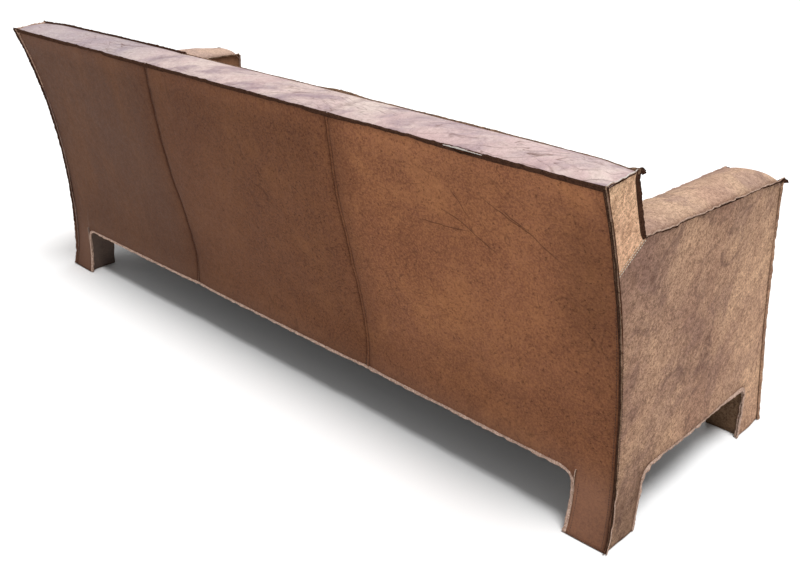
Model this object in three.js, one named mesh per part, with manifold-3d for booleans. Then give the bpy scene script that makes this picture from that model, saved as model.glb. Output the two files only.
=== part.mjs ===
// A three-seat sofa in raw-edged leather. Millimetres, +Z up, +X along the length, the seat opens towards -Y.
// "near" pieces are on the -X side and "far" pieces on the +X side.
import * as THREE from "three";
import { mergeVertices } from "three/addons/utils/BufferGeometryUtils.js";
import Module from "manifold-3d";

const wasm = await Module();
wasm.setup();

// Overall sizes. y = 0 is the back of the rear feet until the whole sofa is centred at the end.
const LENGTH = 2250;
const HALF = LENGTH / 2;
const BACK_HEIGHT = 871; // top of the back along its rear edge
const BACK_FRONT_HEIGHT = 879; // and along its front edge
const BACK_OVERHANG = 118; // how far the top leans out behind the feet
const TOP_DEPTH = 143; // front to rear across the top of the back
const FRONT_REACH = 752; // front feet, ahead of the rear feet
const FRONT_RAKE = 70; // how far the arm's front leans back at its top
const SEAMS = HALF / 3; // the two back seams stand at x = -SEAMS and +SEAMS
const TOP_CROWN = 6;

// The rear of the back, seen from the end
const CORNER_CURVE = 2.84; // the power by which the corner leans out
const CORNER_HOLLOW = 19.3; // how far it is drawn in above the feet
const SPAN_FULLNESS = 26; // how far the leather stands out between the corners
const SPAN_SWAY = 19; // and how much lower down it is drawn in

// Arms
const ARM_WIDTH = 141;
const ARM_FRONT_HEIGHT = 697;
const ARM_BACK_HEIGHT = 730;
const ARM_BACK_Y = -62; // where the arm's top meets the back
const ARM_CROWN = 24;
const CROWN_FROM = 600; // the crown grows from this height on the arm's front
const CROWN_FULL = 690;
const ARM_BEND = 36; // radius of the leather's turn at the arm's front
const SIDE_GAP = 3; // from an arm's parts to the back

// Legs and the arches between them
const LEG_WIDTH = 98;
const REAR_LEG_DEPTH = 104;
const FRONT_LEG_DEPTH = 114;
const ARCH_HEIGHT = 163;
const ARCH_ROUND = 44;
const LEG_FLARE = 7;
const SIDE_ARCH_DROP = 4; // the side arches are this much lower
const REAR_LEG_SPREAD = 22; // a rear leg widens this much under the body
const HEM = 3; // the leather stops this far above the floor
const LEG_BLOCK_TOP = 250;

// Sheets and clearances
const LEATHER = 4;
const LINING = 3;
const CLOTH = 2;
const GAP = 0.5;
const SLACK = 5; // room between the leather and the wood
const LAP = 3; // how far an upholstered edge stops above the deck
const OVER = 50; // how far a cutter runs past what it cuts
const LINING_REAR_Y = -30;
const LINING_FRONT_Y = -714;

// Seat
const DECK = 268.5;
const CUSHION_TOP = 442;
const CUSHION_BEVEL = 24;
const INNER_SLOPE = 0.23; // the inside of the back leans this much per millimetre of height
const END_PINCH = 14; // the back's front edge draws in this far at its two ends
const PINCH_RUN = 500;
const PINCH_FROM = 700; // height where the drawing in starts
const END_SHIFT = 16; // and its whole end stands this much further back, over the last END_RUN
const END_RUN = 100;
const DIAGONAL_FOOT = 665; // height where the sloping end seam meets the rear corner
const CUSHION_Y = [-708, -169];
const DECK_Y = [-703, -167];
const DUST_Y = [-711, -28];
const BACK_PAD_HALF = 870;
const BACK_PAD_THICK = 38;
const ARM_PAD_FRONT = -662;
const ARM_PAD_LOW = 661;
const PAD_CROWN = 0.85; // the pad's share of the arm's crown

// Wood
const POST = 45;
const RAIL_LOW = 175;
const RAIL_HIGH = 265;
const RAIL_THICK = 30;
const POST_DEPTH = 60;
const REAR_POST_TOP = 858;
const FRONT_POST_TOP = 655;
const FRONT_RAIL_Y = [-703, -703 + RAIL_THICK];
const BACK_RAIL_Y = [-58, -58 + RAIL_THICK];
const RAIL_Z = [RAIL_LOW, RAIL_HIGH];
const ARM_RAIL_REAR = -36;
const ARM_RAIL_Z = [630, 658];
const TOP_RAIL_Y = [25, 78];
const TOP_RAIL_Z = [802, 855];
const MID_RAIL_Y = [-70, -46];
const MID_RAIL_Z = [420, 470];
const BRACE_HALF = 20;
const BRACE_TOP = 235;
const STILE_HALF = 22;
const STILE_THICK = 24;
const STILE_TOP = 800;
const GLIDE_RADIUS = 20;
const GLIDE_HEIGHT = 4;
const GLIDE_REAR_Y = -62;
const GLIDE_FRONT_Y = -688;

const SPRING_WIRE = 2; // radius
const SPRING_SWING = 22;
const SPRING_BENDS = 17;
const SPRING_Z = 257;
const SPRING_END = 3; // from the rail to the end of the wire
const SPRING_LEAD = 20; // from the end of the wire to its first bend
const SPRINGS = 6;

function leather(color, roughness = 0.7) {
  return new THREE.MeshStandardMaterial({ color, roughness, metalness: 0 });
}

const BACK_LEATHER = leather(0x6c4a3b, 0.55);
const SIDE_LEATHER = leather(0xa27f69);
const TOP_LEATHER = leather(0xc8b4af, 0.6);
const ARM_LEATHER = leather(0xbb9b87);
const SEAT_LEATHER = leather(0x8a5c43, 0.6);
const BEECH = new THREE.MeshStandardMaterial({ color: 0xc9a777, roughness: 0.75, metalness: 0 });
const STEEL = new THREE.MeshStandardMaterial({ color: 0x8d9095, roughness: 0.35, metalness: 1 });
const FOAM = new THREE.MeshStandardMaterial({ color: 0xd9cfae, roughness: 0.95, metalness: 0 });
const BLACK_CLOTH = new THREE.MeshStandardMaterial({ color: 0x1d1c1b, roughness: 0.95, metalness: 0 });
const PLASTIC = new THREE.MeshStandardMaterial({ color: 0x23201e, roughness: 0.5, metalness: 0 });

const sofa = new THREE.Group();
const SIDES = [["near", -1], ["far", 1]];

function add(name, geometry, material) {
  const mesh = new THREE.Mesh(geometry, material);
  mesh.name = name;
  sofa.add(mesh);
}

// ---------- shapes ----------

const lerp = THREE.MathUtils.lerp;
const ease = (t) => THREE.MathUtils.smoothstep(t, 0, 1);

// The two ends of a stretch of |x| on one side, in rising order.
function across(sign, inner, outer) {
  return sign > 0 ? [inner, outer] : [-outer, -inner];
}

function box([x0, x1], [y0, y1], [z0, z1], segments = [1, 1, 1]) {
  const geometry = new THREE.BoxGeometry(x1 - x0, y1 - y0, z1 - z0, ...segments);
  return geometry.translate((x0 + x1) / 2, (y0 + y1) / 2, (z0 + z1) / 2);
}

// Moves every point of a geometry by a function of its place.
function bend(geometry, move) {
  const points = geometry.getAttribute("position");
  const v = new THREE.Vector3();
  for (let i = 0; i < points.count; i++) {
    v.fromBufferAttribute(points, i);
    move(v);
    points.setXYZ(i, v.x, v.y, v.z);
  }
  return geometry;
}

// An outline in the YZ plane, drawn out along X.
function drawnAcross(shape, [x0, x1], steps = 1) {
  const geometry = new THREE.ExtrudeGeometry(shape, { depth: x1 - x0, steps, bevelEnabled: false });
  const turn = new THREE.Matrix4().makeBasis(
    new THREE.Vector3(0, 1, 0),
    new THREE.Vector3(0, 0, 1),
    new THREE.Vector3(1, 0, 0),
  );
  return geometry.applyMatrix4(turn.setPosition(x0, 0, 0));
}

// An outline in the XZ plane, drawn back along Y.
function drawnDeep(shape, [y0, y1]) {
  const geometry = new THREE.ExtrudeGeometry(shape, { depth: y1 - y0, bevelEnabled: false });
  const turn = new THREE.Matrix4().makeBasis(
    new THREE.Vector3(1, 0, 0),
    new THREE.Vector3(0, 0, 1),
    new THREE.Vector3(0, -1, 0),
  );
  return geometry.applyMatrix4(turn.setPosition(0, y1, 0));
}

// An outline in the XY plane, drawn up along Z.
function drawnUp(shape, [z0, z1]) {
  return new THREE.ExtrudeGeometry(shape, { depth: z1 - z0, bevelEnabled: false }).translate(0, 0, z0);
}

function solid(geometry) {
  const bare = geometry.clone();
  bare.deleteAttribute("normal");
  bare.deleteAttribute("uv");
  const merged = mergeVertices(bare, 1e-3);
  return new wasm.Manifold(
    new wasm.Mesh({
      numProp: 3,
      vertProperties: merged.getAttribute("position").array,
      triVerts: new Uint32Array(merged.index.array),
    }),
  );
}

function carve(geometry, ...cutters) {
  const left = cutters.reduce((body, cutter) => body.subtract(solid(cutter)), solid(geometry));
  const mesh = left.getMesh();
  const made = new THREE.BufferGeometry();
  made.setAttribute("position", new THREE.BufferAttribute(Float32Array.from(mesh.vertProperties), 3));
  made.setIndex(new THREE.BufferAttribute(Uint32Array.from(mesh.triVerts), 1));
  made.computeVertexNormals();
  return made;
}

// Points (f(z), z) for z from one height to another.
function edge(f, from, to, steps) {
  return Array.from({ length: steps + 1 }, (_, i) => {
    const z = lerp(from, to, i / steps);
    return new THREE.Vector2(f(z), z);
  });
}

// ---------- the sofa's own curves ----------

// The rear corner: hollow above the feet, then leaning out behind them.
function cornerLine(z) {
  const s = Math.max(z, 0) / BACK_HEIGHT;
  return BACK_OVERHANG * s ** CORNER_CURVE - CORNER_HOLLOW * Math.sin(Math.PI * Math.sqrt(s));
}

// The rear of the back. Away from the corners the leather spans straighter, so it stands further out.
function backSurface(x, z) {
  const s = Math.max(z, 0) / BACK_HEIGHT;
  const span = SPAN_FULLNESS * Math.sin(Math.PI * s) - SPAN_SWAY * Math.sin(2 * Math.PI * s);
  return cornerLine(z) + span * ease((HALF - Math.abs(x)) / (HALF - SEAMS));
}

// The arm's front, from the foot to the arm's top.
function frontLine(z) {
  const s = Math.min(Math.max(z, 0) / ARM_FRONT_HEIGHT, 1);
  return -FRONT_REACH + FRONT_RAKE * (1 - (1 - s) ** 2);
}

// The inside of the back, above the seat.
function innerSurface(x, z) {
  const straight = BACK_OVERHANG - TOP_DEPTH - (BACK_FRONT_HEIGHT - z) * INNER_SLOPE;
  const high = Math.max(z - PINCH_FROM, 0) / (BACK_FRONT_HEIGHT - PINCH_FROM);
  const end = END_SHIFT * ease((Math.abs(x) - HALF + END_RUN) / END_RUN);
  return straight + end + END_PINCH * high ** 1.5 * ease((Math.abs(x) - HALF + PINCH_RUN) / PINCH_RUN);
}

const ARM_FRONT_Y = frontLine(ARM_FRONT_HEIGHT);

function armTop(y) {
  return lerp(ARM_FRONT_HEIGHT, ARM_BACK_HEIGHT, (y - ARM_FRONT_Y) / (ARM_BACK_Y - ARM_FRONT_Y));
}

// How far the arm's padded top stands above its edges. It dies out at both ends.
function armCrown(x, y) {
  const u = (Math.abs(x) - HALF + ARM_WIDTH) / ARM_WIDTH;
  const v = THREE.MathUtils.clamp((y - ARM_FRONT_Y) / (ARM_BACK_Y - ARM_FRONT_Y), 0, 1);
  return ARM_CROWN * Math.sin(Math.PI * THREE.MathUtils.clamp(u, 0, 1)) * Math.sin(Math.PI * v) ** 0.5;
}

// The opening between two legs, as a cutter through the back or the front.
function legArch() {
  const foot = HALF - LEG_WIDTH;
  const shape = new THREE.Shape();
  shape.moveTo(-foot + LEG_FLARE, -OVER);
  shape.lineTo(-foot, ARCH_HEIGHT - ARCH_ROUND);
  shape.quadraticCurveTo(-foot, ARCH_HEIGHT, -foot + ARCH_ROUND, ARCH_HEIGHT);
  shape.lineTo(foot - ARCH_ROUND, ARCH_HEIGHT);
  shape.quadraticCurveTo(foot, ARCH_HEIGHT, foot, ARCH_HEIGHT - ARCH_ROUND);
  shape.lineTo(foot - LEG_FLARE, -OVER);
  return drawnDeep(shape, [-FRONT_REACH - OVER, BACK_OVERHANG + OVER]);
}

// ---------- leather ----------

const BUTT = HALF - LEATHER - GAP; // sheets that meet the inside of an end panel stop here
const PANELS = [
  ["near", -BUTT, -SEAMS - GAP / 2],
  ["mid", -SEAMS + GAP / 2, SEAMS - GAP / 2],
  ["far", SEAMS + GAP / 2, BUTT],
];

function outerBack(x0, x1) {
  const sheet = box([x0, x1], [-LEATHER, 0], [HEM, BACK_HEIGHT - LEATHER - GAP], [6, 1, 12]);
  bend(sheet, (v) => {
    v.y += backSurface(v.x, v.z);
  });
  return carve(sheet, legArch());
}

function innerBack(x0, x1) {
  const sheet = box([x0, x1], [0, LEATHER], [DECK + LAP, BACK_FRONT_HEIGHT - LEATHER - GAP], [6, 1, 8]);
  bend(sheet, (v) => {
    v.y += innerSurface(v.x, v.z);
  });
  const overArms = SIDES.map(([, sign]) =>
    box(across(sign, HALF - ARM_WIDTH - GAP, HALF), [-FRONT_REACH, BACK_OVERHANG], [0, ARM_BACK_HEIGHT + 1]),
  );
  return carve(sheet, ...overArms);
}

function topStrip(x0, x1) {
  const sheet = box([x0, x1], [0, 1], [-LEATHER, 0], [6, 4, 1]);
  return bend(sheet, (v) => {
    const share = v.y;
    const front = innerSurface(v.x, BACK_FRONT_HEIGHT);
    v.y = lerp(front, BACK_OVERHANG, share);
    v.z += lerp(BACK_FRONT_HEIGHT, BACK_HEIGHT, share) + TOP_CROWN * Math.sin(Math.PI * share);
  });
}

for (const [name, x0, x1] of PANELS) {
  add("outer_back_" + name, outerBack(x0, x1), BACK_LEATHER);
  add("top_strip_" + name, topStrip(x0, x1), TOP_LEATHER);
  add("inner_back_" + name, innerBack(x0, x1), SEAT_LEATHER);
}

// The end of the back above the arm, down to the sloping seam.
function wingEnd() {
  const lift = 2 * GAP;
  const rear = edge(cornerLine, DIAGONAL_FOOT + lift, BACK_HEIGHT, 5);
  const front = edge((z) => innerSurface(HALF, z), BACK_FRONT_HEIGHT, ARM_BACK_HEIGHT + lift, 5);
  return new THREE.Shape([...rear, ...front]);
}

// The big side panel: the outside of the arm, the body and two legs in one cut.
function sidePanel() {
  const top = ARCH_HEIGHT - SIDE_ARCH_DROP;
  const rearLeg = -REAR_LEG_DEPTH - REAR_LEG_SPREAD;
  const frontLeg = -FRONT_REACH + FRONT_LEG_DEPTH;
  const shape = new THREE.Shape(edge(cornerLine, HEM, DIAGONAL_FOOT, 12));
  shape.lineTo(innerSurface(HALF, ARM_BACK_HEIGHT), ARM_BACK_HEIGHT);
  for (const p of edge(frontLine, ARM_FRONT_HEIGHT, HEM, 8)) shape.lineTo(p.x, p.y);
  shape.lineTo(frontLeg + LEG_FLARE, HEM);
  shape.lineTo(frontLeg, top - ARCH_ROUND);
  shape.quadraticCurveTo(frontLeg, top, frontLeg + ARCH_ROUND, top);
  shape.lineTo(rearLeg - ARCH_ROUND, top);
  shape.quadraticCurveTo(rearLeg, top, rearLeg, top - ARCH_ROUND);
  shape.lineTo(-REAR_LEG_DEPTH, HEM);
  return shape;
}

// A bent strip: a line of points given a thickness on its right-hand side.
function stripOutline(points, thickness) {
  const inner = points.map((p, i) => {
    const before = points[Math.max(i - 1, 0)];
    const after = points[Math.min(i + 1, points.length - 1)];
    const along = after.clone().sub(before).normalize();
    return new THREE.Vector2(p.x + along.y * thickness, p.y - along.x * thickness);
  });
  return new THREE.Shape([...points, ...inner.reverse()]);
}

// One strip covers the front leg, the front of the arm and its top.
function armStrip(sign) {
  const low = ARM_FRONT_HEIGHT - ARM_BEND;
  const deep = ARM_FRONT_Y + ARM_BEND;
  const corner = new THREE.QuadraticBezierCurve(
    new THREE.Vector2(frontLine(low), low),
    new THREE.Vector2(ARM_FRONT_Y, ARM_FRONT_HEIGHT),
    new THREE.Vector2(deep, armTop(deep)),
  );
  const upFront = edge(frontLine, HEM, low, 8);
  const alongTop = Array.from({ length: 7 }, (_, i) => {
    const y = lerp(deep, ARM_BACK_Y - SIDE_GAP, i / 6);
    return new THREE.Vector2(y, armTop(y));
  });
  const line = [...upFront, ...corner.getPoints(5).slice(1, -1), ...alongTop];
  const sheet = drawnAcross(stripOutline(line, LEATHER), across(sign, HALF - ARM_WIDTH, BUTT), 6);
  bend(sheet, (v) => {
    v.z += armCrown(v.x, v.y) * THREE.MathUtils.smoothstep(v.z, CROWN_FROM, CROWN_FULL);
  });
  return carve(sheet, legArch());
}

// The inside of the arm, from the seat up to the arm's top.
function innerArm() {
  const low = DECK + LAP;
  const x = HALF - ARM_WIDTH;
  const rear = edge((z) => innerSurface(x, z) - 1, low, ARM_BACK_HEIGHT - 2 * LEATHER, 2);
  const top = new THREE.Vector2(ARM_FRONT_Y + ARM_BEND + 4, ARM_FRONT_HEIGHT - LEATHER - 2);
  const front = edge((z) => frontLine(z) + LEATHER + 1, ARM_FRONT_HEIGHT - OVER, low, 4);
  return new THREE.Shape([...rear, top, ...front]);
}

// An L-shaped sheet round the two hidden faces of a leg.
function legLining(sign, outerY, faceY) {
  const inside = HALF - LEG_WIDTH + GAP;
  const deeper = Math.sign(outerY - faceY) * LINING;
  const shape = new THREE.Shape();
  shape.moveTo(sign * inside, faceY);
  shape.lineTo(sign * BUTT, faceY);
  shape.lineTo(sign * BUTT, faceY + deeper);
  shape.lineTo(sign * (inside + LINING), faceY + deeper);
  shape.lineTo(sign * (inside + LINING), outerY);
  shape.lineTo(sign * inside, outerY);
  return drawnUp(shape, [HEM, ARCH_HEIGHT - 1]);
}

for (const [side, sign] of SIDES) {
  add("wing_end_" + side, drawnAcross(wingEnd(), across(sign, HALF - LEATHER, HALF)), ARM_LEATHER);
  add("side_panel_" + side, drawnAcross(sidePanel(), across(sign, HALF - LEATHER, HALF)), SIDE_LEATHER);
  add("arm_strip_" + side, armStrip(sign), ARM_LEATHER);
  const inner = across(sign, HALF - ARM_WIDTH, HALF - ARM_WIDTH + LEATHER);
  add("inner_arm_" + side, drawnAcross(innerArm(), inner), SEAT_LEATHER);
  add("leg_lining_rear_" + side, legLining(sign, LINING_REAR_Y, -REAR_LEG_DEPTH), SIDE_LEATHER);
  const frontFace = -FRONT_REACH + FRONT_LEG_DEPTH;
  add("leg_lining_front_" + side, legLining(sign, LINING_FRONT_Y, frontFace), SIDE_LEATHER);
}

const border = box(
  [-HALF + ARM_WIDTH + GAP, HALF - ARM_WIDTH - GAP],
  [0, LEATHER],
  [ARCH_HEIGHT, DECK - GAP],
  [1, 1, 3],
);
bend(border, (v) => {
  v.y += frontLine(v.z);
});
add("front_border", border, SEAT_LEATHER);

// ---------- wooden frame ----------

// A piece sawn to two edges given as functions of height.
function sawn(rearOf, frontOf, from, to, steps) {
  return new THREE.Shape([...edge(rearOf, from, to, steps), ...edge(frontOf, to, from, steps)]);
}

const postRear = (z) => cornerLine(z) - LEATHER - SLACK;
const legFront = -REAR_LEG_DEPTH + LINING + 4;
const postFoot = GLIDE_HEIGHT + GAP;
const rearPostFront = (z) => Math.max(legFront, postRear(z) - POST_DEPTH);
const rearPost = sawn(postRear, rearPostFront, postFoot, REAR_POST_TOP, 12);
const rearBlock = sawn(postRear, () => legFront, postFoot, LEG_BLOCK_TOP, 5);
const frontPostRear = -FRONT_REACH + FRONT_LEG_DEPTH - LINING - 1;
const postFront = (z) => frontLine(z) + LEATHER + SLACK;
const frontPost = sawn(() => frontPostRear, postFront, postFoot, FRONT_POST_TOP, 6);
const frontBlock = sawn(() => frontPostRear, postFront, postFoot, LEG_BLOCK_TOP, 3);

const blockInner = HALF - LEG_WIDTH + LINING + 1;
const postOuter = BUTT - 1;
const postInner = postOuter - POST;

for (const [side, sign] of SIDES) {
  const postX = across(sign, postInner, postOuter);
  const blockX = across(sign, blockInner, postInner - GAP);
  add("rear_post_" + side, drawnAcross(rearPost, postX), BEECH);
  add("rear_leg_block_" + side, drawnAcross(rearBlock, blockX), BEECH);
  add("front_post_" + side, drawnAcross(frontPost, postX), BEECH);
  add("front_leg_block_" + side, drawnAcross(frontBlock, blockX), BEECH);
  const sideX = across(sign, postOuter - SIDE_GAP - RAIL_THICK, postOuter - SIDE_GAP);
  add("side_rail_" + side, box(sideX, [frontPostRear + GAP, legFront - GAP], RAIL_Z), BEECH);
  const armX = across(sign, postInner, postOuter - SIDE_GAP);
  add("arm_rail_" + side, box(armX, [frontPostRear + GAP, ARM_RAIL_REAR], ARM_RAIL_Z), BEECH);
}

const railX = [-blockInner + GAP, blockInner - GAP];
add("seat_rail_front", box(railX, FRONT_RAIL_Y, RAIL_Z), BEECH);
add("seat_rail_back", box(railX, BACK_RAIL_Y, RAIL_Z), BEECH);
const braceY = [FRONT_RAIL_Y[1] + GAP, BACK_RAIL_Y[0] - GAP];
add("seat_brace", box([-BRACE_HALF, BRACE_HALF], braceY, [RAIL_LOW, BRACE_TOP]), BEECH);
const backX = [-postInner + GAP, postInner - GAP];
add("back_top_rail", box(backX, TOP_RAIL_Y, TOP_RAIL_Z), BEECH);
add("back_mid_rail", box(backX, MID_RAIL_Y, MID_RAIL_Z), BEECH);

const stileRear = (z) => backSurface(SEAMS, z) - LEATHER - SLACK - 2;
const stile = sawn(stileRear, (z) => stileRear(z) - STILE_THICK, RAIL_HIGH + 1, STILE_TOP, 6);
for (const [side, sign] of SIDES) {
  add("back_stile_" + side, drawnAcross(stile, across(sign, SEAMS - STILE_HALF, SEAMS + STILE_HALF)), BEECH);
}

// ---------- springs, pads, cloth, glides ----------

// A flat zig-zag spring that runs from the front rail to the back rail.
function zigZagSpring(x) {
  const y0 = FRONT_RAIL_Y[1] + SPRING_END;
  const y1 = BACK_RAIL_Y[0] - SPRING_END;
  const points = [new THREE.Vector3(x, y0, SPRING_Z)];
  for (let i = 0; i < SPRING_BENDS; i++) {
    const y = lerp(y0 + SPRING_LEAD, y1 - SPRING_LEAD, i / (SPRING_BENDS - 1));
    points.push(new THREE.Vector3(x + SPRING_SWING * (i % 2 ? 1 : -1), y, SPRING_Z));
  }
  points.push(new THREE.Vector3(x, y1, SPRING_Z));
  const hexagon = Array.from({ length: 6 }, (_, i) => {
    const turn = (i * Math.PI) / 3;
    return new THREE.Vector2(SPRING_WIRE * Math.cos(turn), SPRING_WIRE * Math.sin(turn));
  });
  const section = new THREE.Shape(hexagon);
  const path = new THREE.CatmullRomCurve3(points);
  const steps = 2 * SPRING_BENDS + 2;
  return new THREE.ExtrudeGeometry(section, { steps, extrudePath: path, bevelEnabled: false });
}

for (let i = 0; i < SPRINGS; i++) {
  const x = ((i + 0.5) / SPRINGS - 0.5) * 2 * (HALF - ARM_WIDTH);
  add("seat_spring_" + (i + 1), zigZagSpring(x), STEEL);
}

const backPad = box([-BACK_PAD_HALF, BACK_PAD_HALF], [0, BACK_PAD_THICK], [DECK + 8, REAR_POST_TOP]);
bend(backPad, (v) => {
  v.y += innerSurface(v.x, v.z) + LEATHER + 1;
});
add("back_pad", backPad, FOAM);

for (const [side, sign] of SIDES) {
  const padX = across(sign, HALF - ARM_WIDTH + LEATHER + 2, BUTT - 2);
  const pad = box(padX, [ARM_PAD_FRONT, ARM_BACK_Y - 4 * SIDE_GAP], [0, 1], [4, 6, 1]);
  bend(pad, (v) => {
    v.z = lerp(ARM_PAD_LOW, armTop(v.y) + PAD_CROWN * armCrown(v.x, v.y) - 2 * LEATHER, v.z);
  });
  add("arm_pad_" + side, pad, FOAM);
}

const seatWidth = HALF - ARM_WIDTH - 1;
add("deck_cloth", box([-seatWidth, seatWidth], DECK_Y, [DECK, DECK + CLOTH]), BLACK_CLOTH);

function dustCover() {
  const wide = HALF - 14;
  const narrow = HALF - LEG_WIDTH - 6;
  const [front, rear] = DUST_Y;
  const [legBack, legFore] = [-REAR_LEG_DEPTH - 30, -FRONT_REACH + FRONT_LEG_DEPTH + 10];
  const behind = [[narrow, rear], [narrow, legBack], [wide, legBack]];
  const ahead = [[wide, legFore], [narrow, legFore], [narrow, front]];
  const right = [...behind, ...ahead];
  const left = right.map(([x, y]) => [-x, y]).reverse();
  return new THREE.Shape([...right, ...left].map(([x, y]) => new THREE.Vector2(x, y)));
}
add("dust_cover", drawnUp(dustCover(), [ARCH_HEIGHT + 4, ARCH_HEIGHT + 4 + CLOTH]), BLACK_CLOTH);

for (const [side, sign] of SIDES) {
  for (const [end, y] of [["rear", GLIDE_REAR_Y], ["front", GLIDE_FRONT_Y]]) {
    const glide = new THREE.CylinderGeometry(GLIDE_RADIUS, GLIDE_RADIUS, GLIDE_HEIGHT, 24);
    glide.rotateX(Math.PI / 2).translate(sign * (postInner - 1), y, GLIDE_HEIGHT / 2);
    add("foot_glide_" + end + "_" + side, glide, PLASTIC);
  }
}

// ---------- seat cushions ----------

function seatCushion(x0, x1) {
  const bevel = CUSHION_BEVEL;
  const [y0, y1] = CUSHION_Y;
  const shape = new THREE.Shape();
  shape.moveTo(x0 + bevel, y0 + bevel);
  shape.lineTo(x1 - bevel, y0 + bevel);
  shape.lineTo(x1 - bevel, y1 - bevel);
  shape.lineTo(x0 + bevel, y1 - bevel);
  const low = DECK + CLOTH + 2;
  return new THREE.ExtrudeGeometry(shape, {
    depth: CUSHION_TOP - low - 2 * bevel,
    bevelSize: bevel,
    bevelThickness: bevel,
    bevelSegments: 3,
  }).translate(0, 0, low + bevel);
}

const cushionWidth = (2 * seatWidth) / 3;
for (const [i, name] of ["near", "mid", "far"].entries()) {
  const x0 = -seatWidth + i * cushionWidth;
  add("seat_cushion_" + name, seatCushion(x0 + 1, x0 + cushionWidth - 1), SEAT_LEATHER);
}

// The origin is under the middle of the sofa's box.
sofa.position.y = (FRONT_REACH - BACK_OVERHANG) / 2;

export default sofa;
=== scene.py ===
"""A worn three-seat sofa in raw-edged leather. Metres, +Z up, +X along the sofa, the seat opens towards -Y.

"near" pieces are on the -X side and "far" pieces on the +X side, as in the frame.
"""

import math

import bmesh
import bpy
from mathutils import Matrix, Vector, noise
from mathutils.bvhtree import BVHTree


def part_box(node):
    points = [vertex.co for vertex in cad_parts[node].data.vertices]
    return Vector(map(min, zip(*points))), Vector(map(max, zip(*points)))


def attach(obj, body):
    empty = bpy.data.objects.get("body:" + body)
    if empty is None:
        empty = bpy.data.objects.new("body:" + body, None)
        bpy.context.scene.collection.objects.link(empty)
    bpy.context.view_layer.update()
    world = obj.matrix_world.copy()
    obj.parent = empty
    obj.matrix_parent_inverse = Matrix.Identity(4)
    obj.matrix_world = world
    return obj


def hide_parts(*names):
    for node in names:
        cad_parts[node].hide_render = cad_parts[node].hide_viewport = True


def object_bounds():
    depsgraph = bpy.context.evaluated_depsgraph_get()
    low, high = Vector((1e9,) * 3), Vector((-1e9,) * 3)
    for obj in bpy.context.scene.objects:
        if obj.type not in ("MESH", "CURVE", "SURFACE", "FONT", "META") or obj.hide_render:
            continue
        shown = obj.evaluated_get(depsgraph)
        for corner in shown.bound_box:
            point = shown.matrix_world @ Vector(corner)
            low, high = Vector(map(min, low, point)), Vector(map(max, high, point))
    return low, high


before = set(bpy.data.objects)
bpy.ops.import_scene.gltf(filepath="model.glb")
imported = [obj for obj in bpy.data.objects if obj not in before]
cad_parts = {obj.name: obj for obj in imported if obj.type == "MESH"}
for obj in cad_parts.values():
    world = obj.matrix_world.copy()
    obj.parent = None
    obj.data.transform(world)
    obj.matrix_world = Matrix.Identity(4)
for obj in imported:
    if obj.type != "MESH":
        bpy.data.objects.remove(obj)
CAD_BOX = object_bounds()

# ---------------------------------------------------------------- sizes, from the frame
LOW, HIGH = CAD_BOX
HALF = HIGH.x
OVERHANG = 0.118  # how far the top of the back leans out behind the feet
FOOT_Y = HIGH.y - OVERHANG
FRONT_REACH = FOOT_Y - LOW.y
FRONT_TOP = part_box("wing_end_near")[1].z
BACK_TOP = FRONT_TOP - 0.008
TOP_DEPTH = 0.143
SEAM_X = HALF / 3
FRONT_RAKE = 0.070
INNER_SLOPE = 0.23
END_PINCH = 0.014  # how much thinner the top of the back is at its ends
PINCH_RUN = 0.500  # over this length of each end
PINCH_FROM = 0.700  # and above this height
END_SHIFT = 0.016  # how far the wing's front edge lies back
END_RUN = 0.100

ARM_INNER = -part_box("arm_strip_near")[1].x
ARM_FRONT_TOP = 0.697
ARM_BACK_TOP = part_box("side_panel_near")[1].z
ARM_BACK_Y = FOOT_Y - 0.050
ARM_CROWN = 0.024

LEG_INNER = HALF - 0.098
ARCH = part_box("outer_back_mid")[0].z
SIDE_ARCH = ARCH - 0.004
ARCH_ROUND = 0.044
HEM = 0.003
FLARE = 0.007
REAR_LEG_Y = FOOT_Y - 0.104
FRONT_LEG_Y = FOOT_Y - FRONT_REACH + 0.114
DIAGONAL_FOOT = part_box("wing_end_near")[0].z
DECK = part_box("front_border")[1].z

HIDE = 0.0028  # thickness of the leather
LIP = 0.0022  # thickness of a raw edge
CELL = 0.008  # spacing of the points of a leather sheet
FINE = 0.003  # and on its seams

SIDES = (("near", -1), ("far", 1))


# ---------------------------------------------------------------- camera
def look_from(place, yaw, pitch, roll, lens, shift_y):
    """A camera at place. yaw turns from +Y towards +X, pitch is above the horizon."""
    data = bpy.data.cameras.new("camera")
    data.sensor_width = 36
    data.lens = lens
    data.shift_y = shift_y
    camera = bpy.data.objects.new("camera", data)
    bpy.context.scene.collection.objects.link(camera)
    level = math.cos(pitch)
    ahead = Vector((math.sin(yaw) * level, math.cos(yaw) * level, math.sin(pitch)))
    turn = ahead.to_track_quat("-Z", "Y").to_matrix().to_4x4()
    camera.matrix_world = Matrix.Translation(place) @ turn @ Matrix.Rotation(roll, 4, "Z")
    bpy.context.scene.camera = camera
    return camera


look_from((-2.007, FOOT_Y + 1.574, 1.449), yaw=2.380, pitch=-0.347, roll=0.006, lens=44.4, shift_y=-0.1106)


# ---------------------------------------------------------------- shader arithmetic
class Wire:
    """A shader socket that takes part in Python arithmetic by adding Math nodes."""

    def __init__(self, finish, socket):
        self.finish = finish
        self.socket = socket

    def _sum(self, operation, first, second):
        return self.finish.node("ShaderNodeMath", {"operation": operation}, {0: first, 1: second})

    def __add__(self, other):
        return self._sum("ADD", self, other)

    def __radd__(self, other):
        return self._sum("ADD", other, self)

    def __sub__(self, other):
        return self._sum("SUBTRACT", self, other)

    def __rsub__(self, other):
        return self._sum("SUBTRACT", other, self)

    def __mul__(self, other):
        return self._sum("MULTIPLY", self, other)

    def __rmul__(self, other):
        return self._sum("MULTIPLY", other, self)

    def __abs__(self):
        return self._sum("ABSOLUTE", self, 0.0)


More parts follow.
